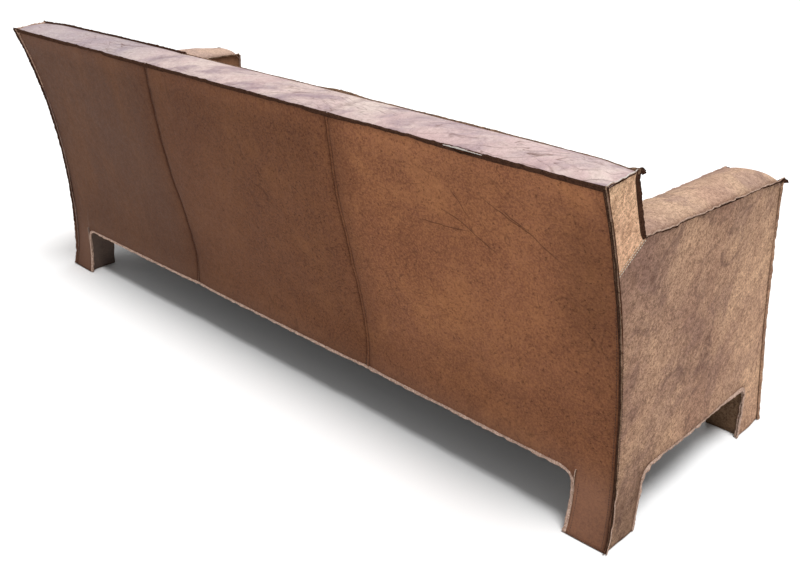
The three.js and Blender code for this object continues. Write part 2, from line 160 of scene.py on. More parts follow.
class Finish:
    """One material: a Principled shader and the patterns that feed it."""

    def __init__(self, name):
        self.material = bpy.data.materials.new(name)
        self.material.use_nodes = True
        self.tree = self.material.node_tree
        self.shader = self.tree.nodes["Principled BSDF"]
        coordinates = self.tree.nodes.new("ShaderNodeTexCoord")
        self.place = Wire(self, coordinates.outputs["Object"])

    def node(self, kind, settings=None, values=None, out=0):
        made = self.tree.nodes.new(kind)
        for key, setting in (settings or {}).items():
            if key == "stops":
                for stop, (at, colour) in zip(ramp_stops(made, len(setting)), setting):
                    stop.position = at
                    stop.color = rgba(colour)
            else:
                setattr(made, key, setting)
        for key, value in (values or {}).items():
            self.plug(made.inputs[key], value)
        return Wire(self, made.outputs[out])

    def plug(self, socket, value):
        if isinstance(value, Wire):
            self.tree.links.new(value.socket, socket)
        elif socket.type == "RGBA":
            socket.default_value = rgba(value)
        else:
            socket.default_value = value

    def set(self, **values):
        for key, value in values.items():
            self.plug(self.shader.inputs[key.replace("_", " ")], value)

    def noise(self, scale, detail=4.0, rough=0.55, twist=0.0, at=None):
        values = {"Vector": at or self.place, "Scale": scale, "Detail": detail}
        values.update({"Roughness": rough, "Distortion": twist})
        return self.node("ShaderNodeTexNoise", values=values)

    def cells(self, scale, feature="F1", at=None, random=1.0):
        values = {"Vector": at or self.place, "Scale": scale, "Randomness": random}
        return self.node("ShaderNodeTexVoronoi", {"feature": feature}, values)

    def drawn(self, axis, lean, stretch, seed=0.0):
        """Coordinates turned by lean about an axis, then drawn out along the turned direction."""
        turn = tuple(lean if axis == a else 0.0 for a in "XYZ")
        scale = tuple(stretch if a == ("Y" if axis == "X" else "X") else 1.0 for a in "XYZ")
        values = {"Vector": self.place, "Location": (seed, seed, seed), "Rotation": turn, "Scale": scale}
        return self.node("ShaderNodeMapping", {"vector_type": "TEXTURE"}, values)

    def warped(self, scale, amount):
        """The object coordinates pushed about by a soft noise, for lines that wander."""
        soft = {"Vector": self.place, "Scale": scale, "Detail": 2.0}
        push = self.node("ShaderNodeTexNoise", values=soft, out=1)
        values = {0: push, 1: (amount, amount, amount), 2: self.place}
        return self.node("ShaderNodeVectorMath", {"operation": "MULTIPLY_ADD"}, values)

    def between(self, value, low, high, to_low=0.0, to_high=1.0):
        values = {"Value": value, "From Min": low, "From Max": high, "To Min": to_low, "To Max": to_high}
        return self.node("ShaderNodeMapRange", {"interpolation_type": "SMOOTHSTEP"}, values)

    def mix(self, share, first, second):
        return self.node("ShaderNodeMix", {"data_type": "RGBA"}, {0: share, 6: first, 7: second}, out=2)

    def dimmed(self, colour, light):
        """The colour times a grey, 0 to 1."""
        settings = {"data_type": "RGBA", "blend_type": "MULTIPLY"}
        return self.node("ShaderNodeMix", settings, {0: 1.0, 6: colour, 7: light}, out=2)

    def along(self, axis):
        return self.node("ShaderNodeSeparateXYZ", values={0: self.place}, out="XYZ".index(axis))

    def painted(self, name):
        return self.node("ShaderNodeAttribute", {"attribute_name": name}, out=2)

    def bump(self, height, distance, strength=1.0, under=None):
        values = {"Height": height, "Distance": distance, "Strength": strength}
        if under:
            values["Normal"] = under
        return self.node("ShaderNodeBump", values=values)


def ramp_stops(node, count):
    stops = node.color_ramp.elements
    while len(stops) < count:
        stops.new(1.0)
    return stops


def rgba(colour):
    return (*colour[:3], 1.0)


def srgb(red, green, blue):
    """A screen colour, 0 to 255, as the linear colour that a shader takes."""
    screen = (red / 255, green / 255, blue / 255)
    return tuple(c / 12.92 if c <= 10 / 255 else ((c + 0.055) / 1.055) ** 2.4 for c in screen)


# ---------------------------------------------------------------- finishes
def strands(finish, axis, lean, scale, width, stretch=6.0, seed=0.0, low=0.50, high=0.62):
    """Fine long creases that run roughly one way: the level lines of a drawn-out noise, in patches only."""
    level = finish.noise(scale, 2.0, 0.50, 0.25, at=finish.drawn(axis, lean, stretch, seed))
    line = finish.between(abs(level - 0.5), 0.0, width, 1.0, 0.0)
    patches = finish.noise(4.2, 3.0, 0.6, 0.3, at=finish.drawn(axis, lean, 1.6, seed + 5.0))
    return line * finish.between(patches, low, high)


def folds(finish, where, ends, width):
    """Single long creases. where is a wandering pair of coordinates, ends holds it at both ends of each."""
    x, z = where
    total = 0.0
    for (a, b), (c, d) in ends:
        long = math.hypot(c - a, d - b)
        ahead, aside = ((c - a) / long, (d - b) / long), (-(d - b) / long, (c - a) / long)
        run = (x - a) * ahead[0] + (z - b) * ahead[1]
        off = abs((x - a) * aside[0] + (z - b) * aside[1])
        line = finish.between(off, 0.0, width, 1.0, 0.0)
        line = line * finish.between(run, 0.0, long * 0.3) * finish.between(run, long, long * 0.7)
        total = line + total
    return total


def shade(colour, share):
    return tuple(share * c for c in colour)


FOLDS = (
    ((-0.775, 0.815), (-1.007, 0.682)),
    ((-0.704, 0.800), (-0.762, 0.737)),
    ((-0.837, 0.787), (-0.898, 0.747)),
    ((-0.660, 0.760), (-0.840, 0.660)),
    ((-0.600, 0.700), (-0.760, 0.705)),
)


def waxed_leather(name, deep, body, warm, grey, placed_marks=1.0):
    """The outer back: red-brown hide with a fine pebble, hair-fine creases, and darker along its seams: painted
    shade in their grooves and dirt round them. Painted sheen makes it duller and greyer towards the far end,
    painted shade darkens the mid and far panels and the near panel low down and by its rear corner, and a
    painted highlight lies under the top edge. The last argument is how much duller it gets towards the far end,
    and how strong the painted shade and highlight, the folds and the paler foot are."""
    f = Finish(name)
    x = f.along("X")
    far = f.between(x, -0.45, 0.55) * placed_marks
    far_end_sheen = f.between(x, 0.30, 0.50) * placed_marks
    cloud = f.between(f.noise(3.1, 5.0, 0.55, 0.4), 0.30, 0.70)
    patch = f.between(f.noise(8.0, 6.0, 0.62, 0.3), 0.42, 0.74)
    fine = f.between(f.noise(55.0, 6.0, 0.72), 0.30, 0.70)
    grain = f.between(f.noise(190.0, 4.0, 0.75), 0.38, 0.62)
    pore = f.between(f.noise(130.0, 5.0, 0.8), 0.53, 0.66)
    fall = f.between(f.noise(7.0, 4.0, 0.6, 0.2, at=f.drawn("Y", math.pi / 2, 4.0)), 0.40, 0.68)
    colour = f.mix(cloud * 0.8, deep, body)
    colour = f.mix(patch * 0.50 * (1.0 - far * 0.6), colour, warm)
    # Painted sheen: greyer towards the far end, with the fine marks below fainter there, for the grazing
    # reflection of the white room.
    colour = f.mix(far * 0.60 + far_end_sheen * 0.36, colour, grey)
    colour = f.mix(fall * 0.22 * far, colour, shade(warm, 0.80))
    live = 1.0 - far * 0.60
    colour = f.mix(fine * 0.34 * live, colour, shade(deep, 0.66))
    colour = f.mix(grain * 0.34 * live, colour, shade(warm, 1.20))
    colour = f.mix(pore * 0.74 * live, colour, shade(deep, 0.40))
    crease = strands(f, "Y", -0.80, 8.0, 0.0050, 4.0, 1.0, 0.44, 0.56)
    cross = strands(f, "Y", -1.20, 14.0, 0.0080, 5.0, 7.0, 0.46, 0.58)
    hair = strands(f, "Y", 0.35, 26.0, 0.0120, 4.0, 12.0, 0.50, 0.62)
    lines = (crease * 0.36 + cross * 0.40 + hair * 0.30) * live
    wandering = f.warped(9.0, 0.05)
    where = [f.node("ShaderNodeSeparateXYZ", values={0: wandering}, out=axis) for axis in (0, 2)]
    lines = lines + folds(f, where, FOLDS, 0.0022) * 0.75 * placed_marks
    colour = f.mix(lines, colour, shade(deep, 0.36))
    z = f.along("Z")
    colour = f.mix(f.between(z, 0.24, 0.10) * 0.42 * placed_marks, colour, srgb(176, 134, 114))
    # Painted shade: the mid and far panels darker, and the near panel darker low down and by its rear corner.
    # Painted highlight: a lighter band under the top edge, where the leather rolls over it.
    shaded = f.between(x, -0.52, -0.26) * 0.34
    low = f.between(z, 0.60, 0.12) * 0.20 * (1.0 - f.between(x, -0.52, -0.26))
    corner = f.between(abs(x + 1.06), 0.13, 0.0) * f.between(abs(z - 0.62), 0.26, 0.04) * 0.26
    under = f.between(z, 0.80, 0.86) * 0.16
    colour = f.dimmed(colour, 0.90 - (shaded + low + corner) * placed_marks + under * placed_marks)
    # The marks along the seams and edges: painted shade in the grooves of the seams and under the top edge, and
    # fainter dirt round them.
    edge = f.painted("edge")
    colour = f.mix(edge * 0.84, colour, shade(deep, 0.22))
    normal = f.bump(f.cells(330.0, "SMOOTH_F1"), 0.0008, 0.45)
    normal = f.bump(f.noise(140.0, 4.0, 0.70), 0.0022, 0.7, normal)
    normal = f.bump(1.0 - lines, 0.0020, 0.6, normal)
    rough = 0.58 + 0.16 * fine + edge * 0.15
    f.set(Base_Color=colour, Roughness=rough, Normal=normal, Specular_IOR_Level=0.05)
    return f.material


def brushed_leather(name, dark, body, light, violet, lean=-0.75, rough=1.0, level=1.0):
    """The sides and arms: matte hide with a brushed slant, mottled from hand size down to pinheads. It is paler
    low down at the front, and greyer high up at the rear. rough is the strength of the mottling, and level how
    light the whole is."""
    f = Finish(name)
    # The mask of the paler low front: it lightens the colour here and raises the level below.
    paler_low_front = f.between(f.along("Y"), -0.02, -0.38) * f.between(f.along("Z"), 0.66, 0.36)
    greyed = f.between(f.along("Y"), 0.02, 0.26) * f.between(f.along("Z"), 0.40, 0.62)
    slant = f.drawn("X", lean, 1.35)
    cloud = f.between(f.noise(4.0, 5.0, 0.6, 0.4), 0.32, 0.68)
    blot = f.between(f.noise(9.0, 5.0, 0.6, 0.5, at=f.drawn("X", lean, 1.5, 3.0)), 0.42, 0.66)
    stroke = f.between(f.noise(40.0, 7.0, 0.85, 1.0, at=slant), 0.42, 0.62)
    tuft = f.between(f.noise(150.0, 5.0, 0.80, 0.5, at=slant), 0.44, 0.60)
    speck = f.between(f.noise(210.0, 5.0, 0.85), 0.51, 0.60)
    stain = f.between(f.noise(12.0, 7.0, 0.70, 0.8, at=f.drawn("X", lean, 1.3, 9.0)), 0.52, 0.68)
    colour = f.mix(cloud, body, light)
    colour = f.mix(paler_low_front * 0.55, colour, light)
    colour = f.mix(blot * 0.55 * (1.0 - paler_low_front * 0.5), colour, violet)
    colour = f.mix(greyed * 0.35, colour, violet)
    colour = f.mix(stain * 0.62 * (1.0 - paler_low_front * 0.6), colour, shade(violet, 0.62))
    colour = f.mix(stroke * 0.42 * rough, colour, dark)
    colour = f.mix(tuft * 0.46 * rough, colour, shade(dark, 0.7))
    colour = f.mix(speck * 0.56 * rough, colour, shade(dark, 0.42))
    colour = f.mix(f.between(f.along("X"), 0.7, 0.9) * 0.3, colour, srgb(200, 180, 174))
    leg = f.between(f.along("Y"), 0.02, 0.22) * f.between(f.along("Z"), 0.30, 0.02)
    colour = f.dimmed(colour, level * (0.92 - leg * 0.34 + paler_low_front * 0.12))
    crease = strands(f, "X", lean + 0.2, 16.0, 0.008, 4.0, 2.0)
    colour = f.mix(crease * 0.30, colour, shade(dark, 0.55))
    edge = f.painted("edge")
    colour = f.mix(edge * 0.45, colour, shade(dark, 0.45))
    normal = f.bump(f.noise(210.0, 4.0, 0.75, at=slant), 0.0026, 0.75)
    normal = f.bump(f.noise(50.0, 5.0, 0.65), 0.0030, 0.55, normal)
    normal = f.bump(1.0 - crease, 0.0014, 0.6, normal)
    f.set(Base_Color=colour, Roughness=0.84 + 0.12 * tuft, Normal=normal, Specular_IOR_Level=0.04)
    return f.material


def faded_leather(name, pale, rose, brown, violet):
    """The top strips: hide bleached to a pinkish grey, creased on a slant and greyer towards the far end."""
    f = Finish(name)
    far = f.between(f.along("X"), 0.25, 0.60)
    cloud = f.between(f.noise(6.0, 6.0, 0.6, 0.6), 0.34, 0.66)
    patch = f.between(f.noise(14.0, 6.0, 0.65, 0.4, at=f.drawn("Z", 0.5, 2.0)), 0.42, 0.70)
    fine = f.between(f.noise(90.0, 5.0, 0.7), 0.36, 0.72)
    speck = f.between(f.noise(300.0, 3.0, 0.7), 0.50, 0.70)
    colour = f.mix(cloud, pale, rose)
    bleach = f.between(f.noise(5.0, 5.0, 0.6, 0.5), 0.50, 0.68)
    colour = f.mix(bleach * 0.7, colour, srgb(236, 218, 208))
    colour = f.mix(patch * 0.85, colour, violet)
    colour = f.mix(far * 0.55, colour, srgb(172, 162, 170))
    colour = f.mix(fine * 0.26, colour, brown)
    colour = f.mix(speck * 0.30, colour, shade(brown, 0.7))
    crease = strands(f, "Z", 0.45, 20.0, 0.014, 4.0, 2.0, 0.46, 0.58)
    crack = strands(f, "Z", -0.20, 34.0, 0.020, 5.0, 9.0, 0.46, 0.58)
    lines = crease * 0.62 + crack * 0.50
    colour = f.mix(lines, colour, shade(brown, 0.8))
    edge = f.painted("edge")
    colour = f.mix(edge * 0.60, colour, shade(brown, 0.6))
    normal = f.bump(f.cells(260.0, "SMOOTH_F1"), 0.0010, 0.5)
    normal = f.bump(f.noise(90.0, 4.0, 0.65), 0.0018, 0.5, normal)
    normal = f.bump(1.0 - lines, 0.0016, 0.7, normal)
    f.set(Base_Color=colour, Roughness=0.56 + 0.20 * fine, Normal=normal, Specular_IOR_Level=0.26)
    return f.material


def raw_edge(name, dark, pale, share):
    """The cut edge of the hide: fibrous, darkened with handling where share is low."""
    f = Finish(name)
    fibre = f.between(f.noise(210.0, 5.0, 0.8, 0.6), 0.32, 0.68)
    soil = f.between(f.noise(30.0, 5.0, 0.7), 0.42, 0.62)
    colour = f.mix(fibre * share, dark, pale)
    colour = f.mix(soil * (1.0 - share), colour, dark)
    normal = f.bump(f.noise(380.0, 4.0, 0.8), 0.0016, 0.9)
    f.set(Base_Color=colour, Roughness=0.92, Normal=normal, Specular_IOR_Level=0.0)
    return f.material


def waxed_thread(name, colour):
    f = Finish(name)
    twist = f.between(f.noise(700.0, 2.0), 0.3, 0.7)
    f.set(Base_Color=f.mix(twist, shade(colour, 0.6), colour), Roughness=0.6)
    return f.material


def sawn_beech(name):
    f = Finish(name)
    values = {"Vector": f.place, "Scale": 22.0, "Distortion": 5.0, "Detail": 3.0, "Detail Scale": 1.4}
    rings = f.node("ShaderNodeTexWave", {"wave_type": "RINGS", "rings_direction": "X"}, values)
    flecks = f.between(f.noise(160.0, 5.0, at=f.drawn("Z", 0.0, 9.0)), 0.4, 0.7)
    colour = f.mix(rings, srgb(196, 160, 116), srgb(222, 190, 146))
    colour = f.mix(flecks * 0.4, colour, srgb(158, 120, 82))
    f.set(Base_Color=colour, Roughness=0.7, Normal=f.bump(flecks, 0.0006, 0.5))
    return f.material


def black_cloth(name):
    """Woven black cloth under the frame and over the springs."""
    f = Finish(name)
    weave = {"wave_type": "BANDS"}
    warp = f.node("ShaderNodeTexWave", {**weave, "bands_direction": "X"}, {"Vector": f.place, "Scale": 180.0})
    weft = f.node("ShaderNodeTexWave", {**weave, "bands_direction": "Y"}, {"Vector": f.place, "Scale": 180.0})
    cloth = warp * weft
    dust = f.between(f.noise(6.0, 5.0), 0.45, 0.75)
    colour = f.mix(cloth, srgb(20, 19, 18), srgb(44, 42, 40))
    colour = f.mix(dust * 0.35, colour, srgb(92, 86, 78))
    f.set(Base_Color=colour, Roughness=0.93, Normal=f.bump(cloth, 0.0006, 0.6))
    return f.material


def cut_foam(name):
    f = Finish(name)
    pores = f.between(f.cells(420.0), 0.1, 0.6)
    colour = f.mix(pores, srgb(176, 164, 120), srgb(224, 214, 172))
    f.set(Base_Color=colour, Roughness=0.95, Normal=f.bump(pores, 0.0012, 0.8))
    return f.material


def spring_wire(name):
    f = Finish(name)
    oil = f.between(f.noise(40.0, 4.0), 0.4, 0.7)
    colour = f.mix(oil, srgb(150, 152, 156), srgb(96, 92, 88))
    f.set(Base_Color=colour, Metallic=1.0, Roughness=0.3 + 0.25 * oil)
    return f.material


def glide_plastic(name):
    f = Finish(name)
    scuff = f.between(f.noise(130.0, 5.0, 0.7), 0.5, 0.7)
    f.set(Base_Color=f.mix(scuff, srgb(38, 34, 31), srgb(84, 78, 70)), Roughness=0.5 + 0.3 * scuff)
    return f.material


# The fourth colour of each waxed hide is the grey of its painted sheen towards the far end.
BACK_HIDE = waxed_leather(
    "back_hide", srgb(128, 80, 58), srgb(152, 101, 75), srgb(190, 130, 86), srgb(124, 90, 74)
)
SEAT_HIDE = waxed_leather(
    "seat_hide", srgb(128, 86, 64), srgb(162, 116, 88), srgb(190, 142, 104), srgb(142, 104, 84), 0.5
)
SIDE_HIDE = brushed_leather(
    "side_hide", srgb(104, 74, 60), srgb(188, 148, 124), srgb(228, 186, 152), srgb(146, 114, 106)
)
ARM_HIDE = brushed_leather(
    "arm_hide", srgb(124, 92, 76), srgb(210, 172, 150), srgb(232, 196, 166), srgb(174, 144, 136),
    lean=-0.5, rough=0.8, level=1.10,
)
WING_HIDE = brushed_leather(
    "wing_hide", srgb(124, 84, 58), srgb(244, 198, 162), srgb(250, 214, 174), srgb(222, 178, 148),
    lean=-0.9, rough=1.1, level=1.22,
)
TOP_HIDE = faded_leather(
    "top_hide", srgb(224, 204, 197), srgb(214, 185, 183), srgb(120, 88, 76), srgb(158, 136, 146)
)
CURL_EDGE = raw_edge("curl_edge", srgb(176, 160, 150), srgb(250, 246, 240), 0.9)
FLESH = brushed_leather(
    "flesh_side", srgb(74, 56, 42), srgb(128, 98, 74), srgb(152, 120, 92), srgb(112, 90, 78)
)
DARK_LIP = raw_edge("dark_lip", srgb(50, 33, 26), srgb(92, 64, 50), 0.8)
DARK_CUT = raw_edge("dark_cut", srgb(46, 31, 25), srgb(100, 72, 56), 0.75)
PALE_LIP = raw_edge("pale_lip", srgb(110, 82, 66), srgb(190, 158, 138), 0.8)
PALE_CUT = raw_edge("pale_cut", srgb(140, 108, 90), srgb(228, 200, 182), 0.85)
TAN_CUT = raw_edge("tan_cut", srgb(66, 48, 38), srgb(196, 160, 132), 0.7)
HEM_EDGE = raw_edge("hem_edge", srgb(138, 106, 90), srgb(232, 204, 186), 0.85)
DARK_THREAD = waxed_thread("dark_thread", srgb(58, 38, 30))
PALE_THREAD = waxed_thread("pale_thread", srgb(222, 208, 188))
BEECH = sawn_beech("beech")
CLOTH = black_cloth("black_cloth")
FOAM = cut_foam("foam")
WIRE = spring_wire("spring_wire")
GLIDE = glide_plastic("glide_plastic")


# ---------------------------------------------------------------- the sofa's own curves
def smooth(t):
    t = min(max(t, 0.0), 1.0)
    return t * t * (3 - 2 * t)


def lerp(a, b, t):
    return a + (b - a) * t


def ripple(x, y, z, size, seed=0.0):
    """A soft noise from -1 to 1 whose lumps are about size across."""
    return noise.noise(Vector((x / size + seed, y / size, z / size)))


def corner_line(z):
    s = max(z, 0.0) / BACK_TOP
    return FOOT_Y + OVERHANG * s**2.84 - 0.0193 * math.sin(math.pi * math.sqrt(s))


def back_surface(x, z):
    s = max(z, 0.0) / BACK_TOP
    span = 0.026 * math.sin(math.pi * s) - 0.019 * math.sin(2 * math.pi * s)
    return corner_line(z) + span * smooth((HALF - abs(x)) / (HALF - SEAM_X))


def front_line(z):
    s = min(max(z, 0.0) / ARM_FRONT_TOP, 1.0)
    return FOOT_Y - FRONT_REACH + FRONT_RAKE * (1 - (1 - s) ** 2)


def inner_surface(x, z):
    straight = FOOT_Y + OVERHANG - TOP_DEPTH - (FRONT_TOP - z) * INNER_SLOPE
    high = max(z - PINCH_FROM, 0.0) / (FRONT_TOP - PINCH_FROM)
    worn = 0.007 * smooth(1 - abs(x + 0.66) / 0.34) * smooth((z - 0.60) / 0.25)
    end = END_SHIFT * smooth((abs(x) - HALF + END_RUN) / END_RUN)
    return straight + worn + end + END_PINCH * high**1.5 * smooth((abs(x) - HALF + PINCH_RUN) / PINCH_RUN)


ARM_FRONT_Y = front_line(ARM_FRONT_TOP)


def arm_top(y):
    return lerp(ARM_FRONT_TOP, ARM_BACK_TOP, (y - ARM_FRONT_Y) / (ARM_BACK_Y - ARM_FRONT_Y))


def arm_drop(y):
    """How much lower the inner edge of an arm has worn than its outer edge."""
    return 0.010 * smooth((y - ARM_FRONT_Y - 0.02) / 0.30)


def away(distance, reach):
    """1 on a seam, falling to 0 over reach."""
    return math.exp(-max(distance, 0.0) / reach)


# ---------------------------------------------------------------- mesh helpers
def finished(name, bm, materials):
    """Makes an object of a bmesh, with its place in its mesh, and lets it ride on the frame."""
    mesh = bpy.data.meshes.new(name)
    bm.to_mesh(mesh)
    bm.free()
    for material in materials:
        mesh.materials.append(material)
    mesh.shade_smooth()
    piece = bpy.data.objects.new(name, mesh)
    bpy.context.scene.collection.objects.link(piece)
    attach(piece, "root")
    return piece


def thickened(piece, thickness, offset=-1.0):
    """Gives a sheet its thickness. The cut rim takes the next material on the piece."""
    wall = piece.modifiers.new("hide", "SOLIDIFY")
    wall.thickness = thickness
    wall.offset = offset
    wall.material_offset_rim = 1
    wall.use_rim = True
    return piece


def faced(bm, outward):
    """Turns an open sheet so that its faces look along outward."""
    bm.normal_update()
    if sum(f.normal.dot(outward) * f.calc_area() for f in bm.faces) < 0:
        bmesh.ops.reverse_faces(bm, faces=bm.faces)


def graded(low, high, cell, seams):
    """Places to cut between low and high: FINE apart on a seam, and cell apart away from one."""
    marks, at = [], low
    while True:
        near = min((abs(at - seam) for seam in seams), default=1.0)
        at += lerp(FINE, cell, smooth(near / 0.05))
        if at > high - FINE / 2:
            return marks
        marks.append(at)


def cut_sheet(name, outline, place, outward, materials, edge_of, cell=CELL, seams=((), ())):
    """Leather cut to a flat outline, then laid on a surface. place(u, v) gives a point of it, and edge_of(u, v)
    how much of a seam's darkening is there."""
    bm = bmesh.new()
    bm.faces.new([bm.verts.new((u, v, 0.0)) for u, v in outline])
    for axis in (0, 1):
        low, high = min(p[axis] for p in outline), max(p[axis] for p in outline)
        along = Vector((1 - axis, axis, 0))
        for at in graded(low, high, cell, seams[axis]):
            whole = bm.verts[:] + bm.edges[:] + bm.faces[:]
            bmesh.ops.bisect_plane(bm, geom=whole, plane_co=along * at, plane_no=along, dist=1e-6)
    edge = bm.verts.layers.float.new("edge")
    for vert in bm.verts:
        u, v = vert.co.x, vert.co.y
        vert[edge] = min(max(edge_of(u, v), 0.0), 1.0)
        vert.co = place(u, v)
    faced(bm, outward)
    return thickened(finished(name, bm, materials), HIDE)


def strip(bm, along, across):
    """A grid of quads, as (vertex, i, j) with i along it and j across it."""
    made = bmesh.ops.create_grid(bm, x_segments=along, y_segments=across, size=1.0)["verts"]
    return [(v, round((v.co.x + 1) / 2 * along), round((v.co.y + 1) / 2 * across)) for v in made]


def resampled(points, spacing):
    """The same line with evenly spaced points."""
    lengths = [0.0]
    for a, b in zip(points, points[1:]):
        lengths.append(lengths[-1] + (Vector(b) - Vector(a)).length)
    count = max(2, round(lengths[-1] / spacing))
    made, k = [], 0
    for i in range(count + 1):
        at = lengths[-1] * i / count
        while k < len(points) - 2 and lengths[k + 1] < at:
            k += 1
        share = (at - lengths[k]) / max(lengths[k + 1] - lengths[k], 1e-9)
        made.append(Vector(points[k]).lerp(Vector(points[k + 1]), min(max(share, 0.0), 1.0)))
    return made


def axes_along(line, outward):
    """For each point of a line: the point, the outward direction square to the line, and the sideways one."""
    last = len(line) - 1
    for i, point in enumerate(line):
        ahead = (line[min(i + 1, last)] - line[max(i - 1, 0)]).normalized()
        up = outward(point) if callable(outward) else outward
        up = (up - ahead * up.dot(ahead)).normalized()
        yield point, up, ahead.cross(up)


def lip(bm, line, outward, height, lean, seed, side=0, ragged=0.16, wave=0.0016, sink=0.003, gap=0.0,
        extra=None):
    """One raw edge of leather that stands along a line, in the bmesh's material 2 * side. It leans sideways by
    lean towards its tip. extra(point, side) gives (more height, more lean) where the edge is torn or curled."""
    rows = 4
    edge = bm.verts.layers.float["edge"]
    known = set(bm.faces)
    frames = list(axes_along(line, outward))
    for vert, i, j in strip(bm, len(line) - 1, rows):
        point, up, across = frames[i]
        share = j / rows
        more, curl = extra(point, side) if extra else (0.0, 0.0)
        rough = noise.noise(point * 95 + Vector((seed, side, 0)))
        rough += 0.7 * noise.noise(point * 260 + Vector((side, seed, 0)))
        slow = noise.noise(point * 14 + Vector((0, 0, seed)))
        tall = (height + more) * (1 + ragged * rough * share + 0.16 * slow)
        bent = wave * share * (noise.noise(point * 55 + Vector((seed, seed, 0))) * 1.6 + slow * 1.2)
        bent += 0.0005 * share * rough
        vert[edge] = lerp(0.95, 0.30, share)
        vert.co = point + up * ((tall + sink) * share - sink)
        vert.co += across * (gap + lean * height * share**1.6 + bent + curl * share**2)
    for face in bm.faces:
        if face not in known:
            face.material_index = 2 * side


def fin(name, points, outward, height, skins, spread=0.10, seed=1.0, extra=None, gap=0.0013, ragged=0.16,
        heights=(1.0, 0.86), wave=0.0016, sink=0.003):
    """A seam sewn with its two raw edges outside. skins holds (face, cut edge) of the lip on each side, heights
    its share of the height."""
    bm = bmesh.new()
    bm.verts.layers.float.new("edge")
    line = resampled(points, 0.0045)
    for side, turn in enumerate((-1, 1)):
        tall = height * heights[side]
        lip(bm, line, outward, tall, spread * turn, seed, side, ragged, wave, sink, gap * turn, extra)
    return thickened(finished(name, bm, skins[0] + skins[1]), LIP, 0.0)


def paired(sign, first, second):
    """The skins of a fin that has first on the middle's side of the seam on both ends of the sofa."""
    return (first, second) if sign < 0 else (second, first)


def welt(name, points, normal, width, height, skin, seed):
    """A felled seam: a low rounded ridge on the leather, with painted shade, dark where it meets the sheets
    beside it.
    """
    rows = 8
    bm = bmesh.new()
    edge = bm.verts.layers.float.new("edge")
    line = resampled(points, 0.004)
    frames = list(axes_along(line, normal))
    for vert, i, j in strip(bm, len(line) - 1, rows):
        point, up, across = frames[i]
        turn = math.pi * j / rows
        full = 1 + 0.30 * noise.noise(point * 70 + Vector((seed, 0, 0))) + 0.12 * math.sin(i * 2.1)
        wander = 0.0012 * noise.noise(point * 12 + Vector((0, seed, 0)))
        # Painted shade: darkest at both sides of the ridge, where it meets the sheets.
        vert[edge] = 0.18 + 0.82 * abs(math.cos(turn)) ** 3
        vert.co = point + across * (width / 2 * math.cos(turn) + wander)
        vert.co += up * (height * full * math.sin(turn) - 0.0012)
    faced(bm, normal(line[0]) if callable(normal) else normal)
    return finished(name, bm, (skin,))


def stitches(name, rows, thread, pitch=0.0075, length=0.0054, radius=0.0008):
    """Rows of stitches. A row is (points, normal), where normal is a direction or gives one for a place."""
    bm = bmesh.new()
    for points, normal in rows:
        line = resampled(points, pitch)
        for a, b in zip(line, line[1:]):
            middle = (a + b) / 2
            up = normal(middle) if callable(normal) else normal
            ahead = (b - a).normalized()
            turn = Matrix((ahead.cross(up).normalized(), up, ahead)).transposed().to_4x4()
            made = bmesh.ops.create_icosphere(bm, subdivisions=1, radius=1.0)["verts"]
            bmesh.ops.scale(bm, vec=(radius, radius, length / 2), verts=made)
            bmesh.ops.transform(bm, matrix=Matrix.Translation(middle) @ turn, verts=made)
    return finished(name, bm, (thread,))


# ---------------------------------------------------------------- outlines
def leg_arch(foot, height, rounding, flare, steps=7):
    """From the foot of a leg, up its inner edge and round the corner to the top of the arch. foot is the leg's
    inner edge and the arch lies on the side of lower values."""
    points = [(foot - flare, HEM)]
    points.append((foot - flare * 0.3, height * 0.45))
    for i in range(steps + 1):
        t = i / steps
        inward = rounding * t * t
        up = height - rounding * (1 - t) ** 2
        points.append((foot - inward, up))
    return points


# ---------------------------------------------------------------- outer back
def back_point(x, z):
    """A point of the outer back. Each panel is full between its seams and rolls in at its edges."""
    beside = min(abs(abs(x) - SEAM_X), HALF - abs(x))
    low = back_foot(x)
    belly = math.sin(math.pi * min(max(z / BACK_TOP, 0), 1))
    full = 0.0075 * (1 - away(beside, 0.055)) * (0.35 + 0.65 * belly)
    roll = 0.006 * away(BACK_TOP - z, 0.022) + 0.0045 * away(beside, 0.009) * smooth((z - low) / 0.05)
    soft = 0.0040 * ripple(x, 0, z, 0.33) + 0.0018 * ripple(x, 3, z, 0.12) + 0.0006 * ripple(x, 5, z, 0.045)
    pucker = 0.0016 * away(beside, 0.022) * ripple(x * 0.5, 9, z, 0.020)
    by_seam = away(abs(abs(x) - SEAM_X), 0.09)
    drawn = 0.0035 * by_seam * away(BACK_TOP - z, 0.12) * ripple(x * 1.5, 2, z * 0.8, 0.035)
    firm = smooth((z - low) / 0.12)
    y = back_surface(x, z) - 0.004 + full - roll + (soft + pucker) * firm + 0.0045 * (1 - firm) + drawn
    return Vector((x, y, z))


def back_foot(x):
    return ARCH if abs(x) < LEG_INNER else HEM


def back_edge(x, z):
    """The marks along the seams: narrow and dark on them and under the top edge, painted shade in their
    grooves, and a narrow dark line along the foot; wide and faint round them, dirt.
    """
    beside = min(abs(abs(x) - SEAM_X), HALF - abs(x))
    low = z - back_foot(x)
    blotch = 0.75 + 0.6 * ripple(x, 21, z, 0.09)
    narrow = 1.0 * away(beside - 0.0035, 0.0028) + 0.8 * away(BACK_TOP - z, 0.008) + 0.30 * away(low, 0.012)
    wide = 0.24 * away(beside, 0.050) + 0.10 * away(BACK_TOP - z, 0.05) + 0.18 * away(low, 0.10)
    return narrow + wide * blotch


